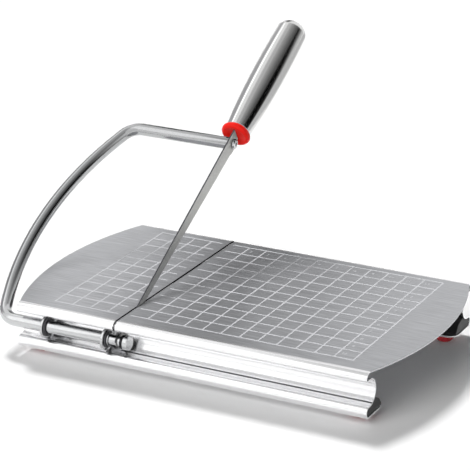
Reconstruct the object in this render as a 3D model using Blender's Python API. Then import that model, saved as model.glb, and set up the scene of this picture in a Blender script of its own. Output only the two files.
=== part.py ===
"""Lever cheese cutter: a slotted board folded from one sheet, with a blade on a bent arm hinged in its rail.

Units are metres and +Z is up. The origin is the centre of the board's top face, X runs along the board,
and Y runs from the hinge side to the back. The arm stands open at REST_ANGLE_DEG above the board's plane.
"""
import math

import bmesh
import bpy
from mathutils import Vector
from mathutils.geometry import interpolate_bezier

# Board, folded from one sheet
BOARD_LENGTH = 0.2720       # over the bowed ends
BOARD_WIDTH = 0.1660        # over the rolled lips
RAIL_LENGTH = 0.2420        # both rails, which are cut off square
SHEET = 0.0010              # thickness of the sheet
LIP_HEIGHT = 0.0061         # rolled lip along the front and the back
LIP_ROLL_RADIUS = 0.0060    # the lip rolls gently off the flat, then turns under in a tighter nose
LIP_ROLL_DEG = 50           # how far it turns before the nose
COVE_RADIUS = 0.0081        # hollow of the rail, centred on the hinge
HINGE_INSET = 0.0057        # from the lip's outer face to the hinge axis
BEAD_HEIGHT = 0.0080        # half-round bead under the cove
BEAD_SETBACK = 0.0008       # bead behind the lip's outer face
FLANGE_REACH = 0.0262       # from the lip's outer face to the inner edge of the bottom flange
FLANGE_CORNER = 0.0070      # rounded ends of the bottom flange

# Slot that the blade closes into
SLOT_X = -0.0500            # plane of the cut
SLOT_SIDE_GAP = 0.0003      # on each side of the blade
SLOT_UNDER_GAP = 0.0007     # under the closed blade

# Swing of the arm above the board's plane
REST_ANGLE_DEG = 28.3
CLOSED_ANGLE_DEG = 5.0

# Arm, one bent rod
ROD_DIAMETER = 0.0082
ROD_CHAMFER = 0.0004
ARM_REACH = 0.1763          # from the hinge axis to the far run of the rod
ARM_LEFT = -0.1493          # centre line of the rod at its widest, left of the board
ARM_BOW_RADIUS = 0.2150
ARM_BOW_CENTRE = 0.0800     # from the hinge axis to the widest place
ARM_BEND = 0.0125           # both tight bends, on the centre line
SPIGOT_DIAMETER = 0.0064    # turned down end of the rod
STUD_DIAMETER = 0.0035      # end that carries the blade's lug and the cap

# Blade
BLADE_THICKNESS = 0.0010
BLADE_EDGE = 0.0036         # below the line from the hinge to the screw
BLADE_NECK = 0.0100         # from the hinge axis to where the spine starts
BLADE_NECK_RISE = 0.0004    # spine above the same line at the neck
BLADE_HEEL = 0.0200         # from the hinge axis to where the edge is fully ground
BLADE_GRIND = 0.0026        # height of the ground bevel
BLADE_GRIND_END = 0.0075    # where the bevel ends, short of the screw
BLADE_EDGE_THICKNESS = 0.0002
BLADE_END_GAP = 0.0020      # from the end of the full width to the ring
LUG_RADIUS = 0.0036
TANG_HALF_WIDTH = 0.0043    # the spine meets the tang's top at the ring
TANG_LENGTH = 0.0480        # past the ring's near face

# Handle and its ring
HANDLE_TILT_DEG = 2.4       # the grip is set a little above the blade's line
HANDLE_OFFSET = 0.0032      # its axis above the blade's line at the ring
HANDLE_LENGTH = 0.1010
HANDLE_MOUTH_RADIUS = 0.0087
HANDLE_SWELL_RADIUS = 0.0116  # pull points of the bellied side
HANDLE_FULL_RADIUS = 0.0119
HANDLE_TIP_RADIUS = 0.0108
HANDLE_TIP_LENGTH = 0.0085  # domed end
HANDLE_WALL = 0.0010
CORE_LENGTH = 0.0560
RING_RADIUS = 0.0101
RING_THICKNESS = 0.0044
RING_DISH = 0.0012          # hollow of the ring's near face
RING_DISH_RADIUS = 0.0050
RING_ROLL_DEG = 200         # how far its outer edge is rounded

# Hinge
EAR_RADIUS = 0.0072
EAR_THICKNESS = 0.0016
EAR_HUG_DEG = 80            # each way round the cove, where the ear is welded to it
EAR_LEFT_X = -0.1030        # left faces of the ears
EAR_RIGHT_X = -0.0592
BUSH_WALL = 0.0009
BUSH_FLANGE = 0.0006
BUSH_FLANGE_RIM = 0.0010    # past the barrel
WASHER_RADIUS = 0.0043
WASHER_THICKNESS = 0.0008
SPACER_LENGTH = 0.0017
LOCK_WASHER_THICKNESS = 0.0015
CAP_RADIUS = 0.0048
CAP_LENGTH = 0.0036
CAP_WALL = 0.0009           # closed end of the cap
CAP_CHAMFER = 0.0005

# Screw that holds the blade to the far end of the rod
SCREW_RADIUS = 0.0017
SCREW_LENGTH = 0.0075
SCREW_HEAD_RADIUS = 0.0036
SCREW_HEAD_HEIGHT = 0.0015
SCREW_FLAT_RADIUS = 0.0018  # flat top of the domed head
SCREW_SOCKET_RADIUS = 0.0014
SCREW_SOCKET_DEPTH = 0.0009

# Base strips and feet
STRIP_END_GAP = 0.0006      # the strips stop short of the rails' ends
STRIP_HUG_DEG = 48          # up the cove's hidden side, from its lowest line
STRIP_CREST_SETBACK = 0.0200  # pull point of the rounded inner shoulder, from the lip's outer face
STRIP_CREST_DROP = 0.0224   # the same point below the board's top face
STRIP_REACH = 0.0240        # from the lip's outer face to the strip's inner face
STRIP_FACE_HEIGHT = 0.0014  # upright part of that face
FOOT_INSET_X = 0.0106       # from the rail's end to a foot's centre
FOOT_INSET_Y = 0.0180       # from the lip's outer face to a foot's centre
FOOT_RADIUS = 0.0068
FOOT_EDGE = 0.0012          # rounding under the flange
FOOT_SOLE_RADIUS = 0.0050
FOOT_SOLE_EDGE = 0.0006
FOOT_FLARE_DEG = 30         # the side leans out from the sole
FOOT_HEIGHT = 0.0048
FOOT_PLUG_RADIUS = 0.0023
FOOT_PLUG_LENGTH = 0.0023   # above the flange

# Clearances
FIT = 0.0003                # between pieces that touch
OVERRUN = 0.0020            # by which a cutter passes the faces that it cuts

# Smoothness
ROD_SIDES = 24
TURN_SIDES = 32
HANDLE_SIDES = 40
HEXAGON_SIDES = 6
FLAT_STEPS = 24
LIP_ROLL_STEPS = 4
LIP_STEPS = 10
COVE_STEPS = 20
CORNER_STEPS = 6
BEND_STEPS = 9
BOW_STEPS = 16
HANDLE_STEPS = 13
DOME_STEPS = 5
ROUND_STEPS = 3
SHARP_EDGE_DEG = 35         # edges that turn more than this stay crisp

# Places that follow from the sizes above
HALF_WIDTH = BOARD_WIDTH / 2
HALF_RAIL = RAIL_LENGTH / 2
AXIS_Y = HINGE_INSET - HALF_WIDTH
AXIS_Z = -LIP_HEIGHT - COVE_RADIUS
ROLL_COSINE = math.cos(math.radians(LIP_ROLL_DEG))
NOSE_RADIUS = (LIP_HEIGHT - LIP_ROLL_RADIUS * (1 - ROLL_COSINE)) / (1 + ROLL_COSINE)
NOSE_Y = NOSE_RADIUS - HALF_WIDTH
NOSE_Z = NOSE_RADIUS - LIP_HEIGHT
FLAT_HALF_WIDTH = -NOSE_Y - (LIP_ROLL_RADIUS - NOSE_RADIUS) * math.sin(math.radians(LIP_ROLL_DEG))
NOSE_START_DEG = 90 + LIP_ROLL_DEG
ROLL_END_DEG = NOSE_START_DEG - LIP_ROLL_DEG / LIP_ROLL_STEPS   # one step short of the nose
BEAD_RADIUS = BEAD_HEIGHT / 2
BEAD_Y = BEAD_SETBACK + BEAD_RADIUS - HALF_WIDTH
BEAD_Z = AXIS_Z - COVE_RADIUS - BEAD_RADIUS
BASE_Z = BEAD_Z - BEAD_RADIUS
FLOOR_OF_STRIP = BASE_Z + SHEET + FIT
ROD_RADIUS = ROD_DIAMETER / 2
SPIGOT_RADIUS = SPIGOT_DIAMETER / 2
STUD_RADIUS = STUD_DIAMETER / 2
BLADE_LEFT = SLOT_X - BLADE_THICKNESS / 2
BLADE_RIGHT = SLOT_X + BLADE_THICKNESS / 2
RING_START = ARM_REACH + ROD_RADIUS + FIT
CAP_X = BLADE_RIGHT + SPACER_LENGTH + LOCK_WASHER_THICKNESS + 3 * FIT

# Looks, as colour, roughness and metallic value
BRUSHED_STEEL = ((0.62, 0.62, 0.63), 0.30, 1.0)
BLADE_STEEL = ((0.58, 0.58, 0.59), 0.25, 1.0)
BRIGHT_STEEL = ((0.78, 0.78, 0.79), 0.12, 1.0)
SATIN_STEEL = ((0.70, 0.70, 0.71), 0.22, 1.0)
DARK_STEEL = ((0.10, 0.10, 0.11), 0.40, 1.0)
BLACK_PLASTIC = ((0.012, 0.012, 0.014), 0.55, 0.0)
GREY_NYLON = ((0.09, 0.09, 0.10), 0.50, 0.0)
RED_SILICONE = ((0.78, 0.03, 0.02), 0.40, 0.0)
RED_RUBBER = ((0.33, 0.01, 0.02), 0.35, 0.0)


def clear_scene():
    for obj in list(bpy.data.objects):
        bpy.data.objects.remove(obj, do_unlink=True)


def make_frame(name, place, tilt_deg, parent=None):
    """An empty that carries the pieces modelled in its own axes."""
    empty = bpy.data.objects.new(name, None)
    bpy.context.scene.collection.objects.link(empty)
    empty.location = place
    empty.rotation_euler.x = math.radians(tilt_deg)
    empty.parent = parent
    return empty


def finish(name, bm, look, frame, place=(0, 0, 0)):
    """Turns a bmesh into a named object. A look makes it a piece, and no look leaves it a guide."""
    bmesh.ops.recalc_face_normals(bm, faces=bm.faces)
    mesh = bpy.data.meshes.new(name)
    bm.to_mesh(mesh)
    bm.free()
    mesh.shade_smooth()
    mesh.set_sharp_from_angle(angle=math.radians(SHARP_EDGE_DEG))
    obj = bpy.data.objects.new(name, mesh)
    bpy.context.scene.collection.objects.link(obj)
    obj.location = place
    obj.parent = frame
    if look:
        colour, roughness, metallic = look
        mat = bpy.data.materials.new(name + "_finish")
        mat.use_nodes = True
        shader = mat.node_tree.nodes["Principled BSDF"]
        shader.inputs["Base Color"].default_value = (*colour, 1)
        shader.inputs["Roughness"].default_value = roughness
        shader.inputs["Metallic"].default_value = metallic
        mesh.materials.append(mat)
    return obj


def cut(target, guide):
    """Subtracts a guide, which stays in the file as a hidden wire shape."""
    guide.hide_render = True
    guide.display_type = "WIRE"
    step = target.modifiers.new(guide.name, "BOOLEAN")
    step.operation = "DIFFERENCE"
    step.solver = "EXACT"
    step.object = guide


def arc(centre, radius, start_deg, end_deg, steps):
    """Points of an arc in a plane, both ends included."""
    points = []
    for index in range(steps + 1):
        angle = math.radians(start_deg + (end_deg - start_deg) * index / steps)
        points.append((centre[0] + radius * math.cos(angle), centre[1] + radius * math.sin(angle)))
    return points


def bezier(knots, steps):
    """Points of one cubic curve in a plane, both ends included."""
    flat_knots = [Vector((*knot, 0)) for knot in knots]
    return [tuple(point)[:2] for point in interpolate_bezier(*flat_knots, steps)]


def extruded(outline, left, right):
    """A YZ outline pushed along X."""
    bm = bmesh.new()
    face = bm.faces.new([bm.verts.new((left, y, z)) for y, z in outline])
    pushed = bmesh.ops.extrude_face_region(bm, geom=[face])
    moved = [item for item in pushed["geom"] if isinstance(item, bmesh.types.BMVert)]
    bmesh.ops.translate(bm, verts=moved, vec=(right - left, 0, 0))
    return bm


def turned(profile, axis, sides, closed=False):
    """Spins (along, radius) points about X or Z. A closed profile makes a ring, others end on the axis."""
    bm = bmesh.new()
    about_x = axis == "X"
    verts = []
    for along, radius in profile:
        verts.append(bm.verts.new((along, radius, 0) if about_x else (radius, 0, along)))
    edges = [bm.edges.new(pair) for pair in zip(verts, verts[1:])]
    if closed:
        edges.append(bm.edges.new((verts[-1], verts[0])))
    bmesh.ops.spin(bm, geom=verts + edges, cent=(0, 0, 0), axis=(1, 0, 0) if about_x else (0, 0, 1),
                   angle=math.tau, steps=sides, use_merge=True)
    smallest = min(radius for along, radius in profile if radius > 0)
    bmesh.ops.remove_doubles(bm, verts=bm.verts, dist=smallest / sides ** 2)
    return bm


def rod_shape(start, end, radius):
    """Open profile of a plain cylinder, for pins and drills."""
    return [(start, 0), (start, radius), (end, radius), (end, 0)]


def tube_shape(start, end, bore, radius):
    """Closed profile of a washer or a sleeve."""
    return [(start, bore), (end, bore), (end, radius), (start, radius)]


def skin(rows, bm):
    """Joins neighbouring rows of points all round and closes both ends."""
    count = len(rows[0])
    for first, second in zip(rows, rows[1:]):
        for index in range(count):
            after = (index + 1) % count
            bm.faces.new((first[index], first[after], second[after], second[index]))
    bm.faces.new(rows[0])
    bm.faces.new(rows[-1])


def bowed_half_length(y):
    """Half length of the flat top at y. The ends are bowed, and meet the rails at their corners."""
    bow = (BOARD_LENGTH - RAIL_LENGTH) / 2
    radius = (FLAT_HALF_WIDTH ** 2 + bow ** 2) / (2 * bow)
    return math.sqrt(radius ** 2 - y ** 2) + BOARD_LENGTH / 2 - radius


def rail_section():
    """Points down the front rail, on the seen and hidden faces of the sheet, with the half length there."""
    section = []
    for centre, seen, hidden, start, end, steps in (
            ((-FLAT_HALF_WIDTH, -LIP_ROLL_RADIUS), LIP_ROLL_RADIUS, LIP_ROLL_RADIUS - SHEET,
             90, ROLL_END_DEG, LIP_ROLL_STEPS - 1),
            ((NOSE_Y, NOSE_Z), NOSE_RADIUS, NOSE_RADIUS - SHEET, NOSE_START_DEG, 270, LIP_STEPS),
            ((AXIS_Y, AXIS_Z), COVE_RADIUS, COVE_RADIUS + SHEET, 90, -90, COVE_STEPS),
            ((BEAD_Y, BEAD_Z), BEAD_RADIUS, BEAD_RADIUS - SHEET, 90, 270, LIP_STEPS)):
        for pair in zip(arc(centre, seen, start, end, steps), arc(centre, hidden, start, end, steps)):
            section.append((*pair, HALF_RAIL))
    for along, across in arc((0, 0), FLANGE_CORNER, 90, 0, CORNER_STEPS):
        y = FLANGE_REACH - HALF_WIDTH - FLANGE_CORNER + along
        section.append(((y, BASE_Z), (y, BASE_Z + SHEET), HALF_RAIL - FLANGE_CORNER + across))
    return section


def board_section():
    """The whole sheet, from one bottom flange over the top to the other."""
    front = rail_section()
    flat = []
    for index in range(1, FLAT_STEPS):
        y = FLAT_HALF_WIDTH * (2 * index / FLAT_STEPS - 1)
        flat.append(((y, 0), (y, -SHEET), bowed_half_length(y)))
    back = [((-seen[0], seen[1]), (-hidden[0], hidden[1]), half) for seen, hidden, half in front]
    return front[::-1] + flat + back


def foot_places():
    """Centres of the feet, by name."""
    x = HALF_RAIL - FOOT_INSET_X
    y = HALF_WIDTH - FOOT_INSET_Y
    return {"front_left": (-x, -y, 0), "front_right": (x, -y, 0),
            "back_left": (-x, y, 0), "back_right": (x, y, 0)}


def make_slot_guide():
    """A thin plate lying at the closed angle, a little wider and deeper than the blade."""
    closed = make_frame("closed_line", (SLOT_X, AXIS_Y, AXIS_Z), CLOSED_ANGLE_DEG)
    low = -BLADE_EDGE - SLOT_UNDER_GAP
    half = BLADE_THICKNESS / 2 + SLOT_SIDE_GAP
    front = -HINGE_INSET - OVERRUN
    outline = [(front, low), (ARM_REACH, low), (ARM_REACH, ARM_REACH), (front, ARM_REACH)]
    return finish("slot_guide", extruded(outline, -half, half), None, closed)


def make_board(slot):
    """One folded sheet: a flat top with bowed ends, and a lip, cove, bead and bottom flange on both sides."""
    bm = bmesh.new()
    rows = []
    for seen, hidden, half in board_section():
        rows.append([bm.verts.new((x, *point)) for x, point in
                     ((-half, seen), (half, seen), (half, hidden), (-half, hidden))])
    skin(rows, bm)
    board = finish("board", bm, BRUSHED_STEEL, None)
    cut(board, slot)
    hole = rod_shape(BASE_Z - OVERRUN, BASE_Z + SHEET + OVERRUN, FOOT_PLUG_RADIUS + FIT)
    for name, place in foot_places().items():
        cut(board, finish("drill_" + name, turned(hole, "Z", TURN_SIDES), None, None, place))


def make_strip(side):
    """Plastic strip that fills the rail between the cove, the bead and the flange, and holds the feet."""
    outline = arc((AXIS_Y, AXIS_Z), COVE_RADIUS + SHEET + FIT, -90, STRIP_HUG_DEG - 90, CORNER_STEPS)
    crest = (STRIP_CREST_SETBACK - HALF_WIDTH, -STRIP_CREST_DROP)
    inner = STRIP_REACH - HALF_WIDTH
    knots = (outline[-1], crest, crest, (inner, FLOOR_OF_STRIP + STRIP_FACE_HEIGHT))
    outline += bezier(knots, CORNER_STEPS)[1:]
    outline.append((inner, FLOOR_OF_STRIP))
    outline += arc((BEAD_Y, BEAD_Z), BEAD_RADIUS - SHEET - FIT, 270, 90, LIP_STEPS)
    half = HALF_RAIL - STRIP_END_GAP
    if side == "back":
        outline = [(-y, z) for y, z in outline]
    strip = finish("base_strip_" + side, extruded(outline, -half, half), BLACK_PLASTIC, None)
    for name, place in foot_places().items():
        if name.startswith(side):
            top = BASE_Z + SHEET + FOOT_PLUG_LENGTH + FIT
            socket = turned(rod_shape(BASE_Z, top, FOOT_PLUG_RADIUS + FIT), "Z", TURN_SIDES)
            cut(strip, finish("socket_" + name, socket, None, None, place))


def make_foot(name, place):
    """Soft round foot with a plug that pushes through the flange into the strip."""
    top = BASE_Z - FIT
    sole = top - FOOT_HEIGHT
    low = (FOOT_SOLE_RADIUS - FOOT_SOLE_EDGE, sole + FOOT_SOLE_EDGE)
    high = (FOOT_RADIUS - FOOT_EDGE, top - FOOT_EDGE)
    side = arc(low, FOOT_SOLE_EDGE, -90, -FOOT_FLARE_DEG, ROUND_STEPS)
    side += arc(high, FOOT_EDGE, -FOOT_FLARE_DEG, 90, ROUND_STEPS)
    end = BASE_Z + SHEET + FOOT_PLUG_LENGTH
    profile = [(sole, 0)] + [(along, radius) for radius, along in side]
    profile += [(top, FOOT_PLUG_RADIUS), (end, FOOT_PLUG_RADIUS), (end, 0)]
    finish("foot_" + name, turned(profile, "Z", TURN_SIDES), RED_RUBBER, None, place)


def make_ear(side, left, shaft, axle):
    """Round plate welded into the cove, with its flanged bush. The back of the plate follows the hollow."""
    outline = arc((0, 0), COVE_RADIUS - FIT, -EAR_HUG_DEG, EAR_HUG_DEG, COVE_STEPS)
    outline += arc((0, 0), EAR_RADIUS, 180 - EAR_HUG_DEG, 180 + EAR_HUG_DEG, COVE_STEPS)
    right = left + EAR_THICKNESS
    ear = finish("hinge_ear_" + side, extruded(outline, left, right), BRIGHT_STEEL, axle)
    bore = shaft + FIT
    barrel = bore + BUSH_WALL
    drill = turned(rod_shape(left - OVERRUN, right + OVERRUN, barrel + FIT), "X", TURN_SIDES)
    cut(ear, finish("bore_" + side, drill, None, axle))
    flange = right + FIT
    rim = barrel + BUSH_FLANGE_RIM
    profile = [(left, bore), (flange + BUSH_FLANGE, bore), (flange + BUSH_FLANGE, rim),
               (flange, rim), (flange, barrel), (left, barrel)]
    finish("hinge_bush_" + side, turned(profile, "X", TURN_SIDES, True), GREY_NYLON, axle)


def rod_path():
    """Centre line in the swing plane, as (x, reach, heading in degrees), from the hinge to the far run."""
    centre_x = ARM_LEFT + ARM_BOW_RADIUS
    inner = ARM_BOW_RADIUS - ARM_BEND
    near_drop = ARM_BOW_CENTRE - ARM_BEND
    far_rise = ARM_REACH - ARM_BEND - ARM_BOW_CENTRE
    near_x = centre_x - math.sqrt(inner ** 2 - near_drop ** 2)
    far_x = centre_x - math.sqrt(inner ** 2 - far_rise ** 2)
    near_deg = 180 + math.degrees(math.asin(near_drop / inner))
    far_deg = 180 - math.degrees(math.asin(far_rise / inner))
    points = []
    for centre, radius, start, end, steps in (
            ((near_x, ARM_BEND), ARM_BEND, 270, near_deg, BEND_STEPS),
            ((centre_x, ARM_BOW_CENTRE), ARM_BOW_RADIUS, near_deg, far_deg, BOW_STEPS),
            ((far_x, ARM_REACH - ARM_BEND), ARM_BEND, far_deg, 90, BEND_STEPS)):
        for index, (x, reach) in enumerate(arc(centre, radius, start, end, steps)):
            if index or not points:
                points.append((x, reach, start + (end - start) * index / steps - 90))
    return points


def make_arm_rod(swing):
    """Stud, spigot, hinge run, tight bend, long bow, tight bend, and a far run with the screw's hole."""
    shoulder = EAR_RIGHT_X - FIT
    stud_end = CAP_X + CAP_LENGTH - CAP_WALL - FIT
    face = BLADE_LEFT - FIT
    stations = [(stud_end, 0, 180, STUD_RADIUS - ROD_CHAMFER), (stud_end - ROD_CHAMFER, 0, 180, STUD_RADIUS),
                (face, 0, 180, STUD_RADIUS), (face, 0, 180, SPIGOT_RADIUS),
                (shoulder, 0, 180, SPIGOT_RADIUS), (shoulder, 0, 180, ROD_RADIUS - ROD_CHAMFER),
                (shoulder - ROD_CHAMFER, 0, 180, ROD_RADIUS)]
    stations += [(x, reach, heading, ROD_RADIUS) for x, reach, heading in rod_path()]
    stations += [(face - ROD_CHAMFER, ARM_REACH, 0, ROD_RADIUS),
                 (face, ARM_REACH, 0, ROD_RADIUS - ROD_CHAMFER),
                 (face, ARM_REACH, 0, SCREW_RADIUS + FIT),
                 (BLADE_RIGHT - SCREW_LENGTH, ARM_REACH, 0, SCREW_RADIUS + FIT)]
    bm = bmesh.new()
    rings = []
    for x, reach, heading, radius in stations:
        turn = math.radians(heading)
        across = Vector((-math.sin(turn), math.cos(turn), 0))
        ring = []
        for index in range(ROD_SIDES):
            angle = math.tau * index / ROD_SIDES
            offset = across * math.cos(angle) + Vector((0, 0, 1)) * math.sin(angle)
            ring.append(bm.verts.new(Vector((x, reach, 0)) + offset * radius))
        rings.append(ring)
    skin(rings, bm)
    finish("arm_rod", bm, BRIGHT_STEEL, swing)


def blade_stations():
    """(reach, top, bevel, bottom, bottom thickness) from the lug to the end of the tang."""
    stations = []
    for reach, rise in arc((0, 0), LUG_RADIUS, 180, 90, CORNER_STEPS)[1:]:
        stations.append((reach, rise, 0, -rise, BLADE_THICKNESS))
    bevel = BLADE_GRIND - BLADE_EDGE
    end = RING_START - BLADE_END_GAP
    ground = ARM_REACH - BLADE_GRIND_END
    climb = (HANDLE_OFFSET + TANG_HALF_WIDTH - BLADE_NECK_RISE) / (RING_START - BLADE_NECK)
    for reach, thickness in ((BLADE_NECK, BLADE_THICKNESS), (BLADE_HEEL, BLADE_EDGE_THICKNESS),
                             (ground, BLADE_EDGE_THICKNESS), (ground + BLADE_GRIND, BLADE_THICKNESS),
                             (end, BLADE_THICKNESS)):
        top = BLADE_NECK_RISE + (reach - BLADE_NECK) * climb
        stations.append((reach, top, bevel, -BLADE_EDGE, thickness))
    lean = math.tan(math.radians(HANDLE_TILT_DEG))
    for reach in (end + FIT, RING_START + TANG_LENGTH):
        middle = HANDLE_OFFSET + (reach - RING_START) * lean
        stations.append((reach, middle + TANG_HALF_WIDTH, middle, middle - TANG_HALF_WIDTH, BLADE_THICKNESS))
    return stations


def make_blade(swing):
    """Ground blade in one piece with its hinge lug and the tang that runs into the handle."""
    bm = bmesh.new()
    rows = []
    wide = BLADE_THICKNESS / 2
    for reach, top, bevel, bottom, thickness in blade_stations():
        thin = thickness / 2
        section = ((wide, top), (wide, bevel), (thin, bottom), (-thin, bottom), (-wide, bevel), (-wide, top))
        rows.append([bm.verts.new((SLOT_X + x, reach, z)) for x, z in section])
    skin(rows, bm)
    blade = finish("blade", bm, BLADE_STEEL, swing)
    for name, reach, radius in (("pivot_hole", 0, STUD_RADIUS), ("screw_hole", ARM_REACH, SCREW_RADIUS)):
        drill = turned(rod_shape(BLADE_LEFT - OVERRUN, BLADE_RIGHT + OVERRUN, radius + FIT), "X", TURN_SIDES)
        cut(blade, finish(name, drill, None, swing, (0, reach, 0)))


def make_blade_screw(swing):
    """Button-head screw with a hexagon socket, through the blade into the end of the rod."""
    face = BLADE_RIGHT + FIT
    top = face + SCREW_HEAD_HEIGHT
    profile = [(face - SCREW_LENGTH, 0), (face - SCREW_LENGTH, SCREW_RADIUS), (face, SCREW_RADIUS)]
    for along, rise in arc((face, 0), SCREW_HEAD_HEIGHT, 90, 0, ROUND_STEPS):
        crown = (SCREW_HEAD_RADIUS - SCREW_FLAT_RADIUS) * rise / SCREW_HEAD_HEIGHT
        profile.append((along, SCREW_FLAT_RADIUS + crown))
    profile.append((top, 0))
    place = (0, ARM_REACH, 0)
    screw = finish("blade_screw", turned(profile, "X", TURN_SIDES), BRIGHT_STEEL, swing, place)
    socket = rod_shape(top - SCREW_SOCKET_DEPTH, top + OVERRUN, SCREW_SOCKET_RADIUS)
    cut(screw, finish("hexagon", turned(socket, "X", HEXAGON_SIDES), None, swing, place))


def make_pivot_stack(swing):
    """What sits on the spigot and the stud: a washer either side, a spacer and the closed cap."""
    left = EAR_RIGHT_X + EAR_THICKNESS + BUSH_FLANGE + 2 * FIT
    middle = CAP_X - LOCK_WASHER_THICKNESS - FIT
    for name, start, length, bore, radius, look in (
            ("thrust_washer", left, WASHER_THICKNESS, SPIGOT_RADIUS, WASHER_RADIUS, BRIGHT_STEEL),
            ("pivot_spacer", BLADE_RIGHT + FIT, SPACER_LENGTH, STUD_RADIUS, SPIGOT_RADIUS, BRIGHT_STEEL),
            ("lock_washer", middle, LOCK_WASHER_THICKNESS, STUD_RADIUS, WASHER_RADIUS, DARK_STEEL)):
        sleeve = tube_shape(start, start + length, bore + FIT, radius)
        finish(name, turned(sleeve, "X", TURN_SIDES, True), look, swing)
    right = CAP_X + CAP_LENGTH
    bore = STUD_RADIUS + FIT
    profile = [(right - CAP_WALL, 0), (right - CAP_WALL, bore), (CAP_X, bore),
               (CAP_X, CAP_RADIUS - CAP_CHAMFER), (CAP_X + CAP_CHAMFER, CAP_RADIUS),
               (right - CAP_CHAMFER, CAP_RADIUS), (right, CAP_RADIUS - CAP_CHAMFER), (right, 0)]
    finish("pivot_cap", turned(profile, "X", TURN_SIDES), BRIGHT_STEEL, swing)


def grip_line(inset, end):
    """(along, radius) down the side of the grip from the mouth, offset inwards, as far as end."""
    start = RING_THICKNESS + FIT
    length = HANDLE_LENGTH - HANDLE_TIP_LENGTH
    knots = ((start, HANDLE_MOUTH_RADIUS - inset),
             (start + length / 3, HANDLE_SWELL_RADIUS - inset),
             (start + length * 2 / 3, HANDLE_FULL_RADIUS - inset),
             (start + length, HANDLE_TIP_RADIUS - inset))
    return [point for point in bezier(knots, HANDLE_STEPS) if point[0] <= end]


def grip_tip(inset):
    """(along, radius) round the domed end, which finishes on the axis."""
    root = RING_THICKNESS + FIT + HANDLE_LENGTH - HANDLE_TIP_LENGTH
    points = []
    for along, across in arc((0, 0), 1, 0, 90, DOME_STEPS)[1:]:
        points.append((root + (HANDLE_TIP_LENGTH - inset) * across, (HANDLE_TIP_RADIUS - inset) * along))
    points[-1] = (points[-1][0], 0)
    return points


def make_handle(grip):
    """Hollow steel grip, the plastic core that it is pressed onto, and the soft ring at its mouth."""
    whole = RING_THICKNESS + FIT + HANDLE_LENGTH
    outer = grip_line(0, whole) + grip_tip(0)
    inner = grip_line(HANDLE_WALL, whole) + grip_tip(HANDLE_WALL)
    finish("handle_shell", turned(outer[::-1] + inner, "Z", HANDLE_SIDES), SATIN_STEEL, grip)

    side = grip_line(HANDLE_WALL + FIT, RING_THICKNESS + FIT + CORE_LENGTH)
    profile = [(side[0][0], 0)] + side + [(side[-1][0], 0)]
    core = finish("handle_core", turned(profile, "Z", HANDLE_SIDES), BLACK_PLASTIC, grip)

    bead = RING_THICKNESS / 2
    round_edge = arc((bead, RING_RADIUS - bead), bead, RING_ROLL_DEG, 0, LIP_STEPS)
    profile = [(RING_DISH, 0), (RING_DISH, RING_DISH_RADIUS)] + round_edge + [(RING_THICKNESS, 0)]
    ring = finish("collar_ring", turned(profile, "Z", HANDLE_SIDES), RED_SILICONE, grip)

    half = BLADE_THICKNESS / 2 + SLOT_SIDE_GAP
    high = TANG_HALF_WIDTH + FIT
    end = TANG_LENGTH + 2 * FIT
    outline = [(-high, -OVERRUN), (high, -OVERRUN), (high, end), (-high, end)]
    for target in (core, ring):
        cut(target, finish("tang_slot_" + target.name, extruded(outline, -half, half), None, grip))


clear_scene()
axle_frame = make_frame("axle", (0, AXIS_Y, AXIS_Z), 0)
swing_frame = make_frame("swing", (0, AXIS_Y, AXIS_Z), REST_ANGLE_DEG)
grip_frame = make_frame("grip", (SLOT_X, RING_START, HANDLE_OFFSET), HANDLE_TILT_DEG - 90, swing_frame)
slot_guide = make_slot_guide()

make_board(slot_guide)
make_strip("front")
make_strip("back")
for foot_name, foot_place in foot_places().items():
    make_foot(foot_name, foot_place)
make_ear("left", EAR_LEFT_X, ROD_RADIUS, axle_frame)
make_ear("right", EAR_RIGHT_X, SPIGOT_RADIUS, axle_frame)
make_arm_rod(swing_frame)
make_blade(swing_frame)
make_blade_screw(swing_frame)
make_pivot_stack(swing_frame)
make_handle(grip_frame)
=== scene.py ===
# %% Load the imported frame
import math

import bmesh
import bpy
from mathutils import Matrix, Vector


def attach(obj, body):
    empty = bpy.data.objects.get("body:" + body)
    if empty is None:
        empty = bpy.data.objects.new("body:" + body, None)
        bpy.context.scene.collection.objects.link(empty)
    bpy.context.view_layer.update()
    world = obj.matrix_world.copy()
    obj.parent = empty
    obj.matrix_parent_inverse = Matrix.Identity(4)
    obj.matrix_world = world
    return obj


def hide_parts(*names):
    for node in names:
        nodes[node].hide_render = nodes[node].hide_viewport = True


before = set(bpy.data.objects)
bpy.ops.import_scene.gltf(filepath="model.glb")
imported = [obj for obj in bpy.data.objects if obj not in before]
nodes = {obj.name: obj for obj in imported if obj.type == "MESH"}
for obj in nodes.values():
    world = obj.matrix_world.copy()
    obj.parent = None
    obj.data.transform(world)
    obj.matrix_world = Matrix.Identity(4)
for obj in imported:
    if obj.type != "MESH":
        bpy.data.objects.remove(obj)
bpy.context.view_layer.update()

# %% [markdown]
# # A lever cheese cutter
# The real object is a board folded from one stainless sheet, with a blade on a bent rod arm.
# The arm swings on a hinge that lies in the hollow of the front rail.
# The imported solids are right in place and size, but they are faceted and plain.
# This lesson makes each piece again with fine curves and eased edges, in the same place,
# because polished steel shows every facet in its reflections.
# All lengths are metres, and X runs along the board, Y to the back and Z up.

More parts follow.
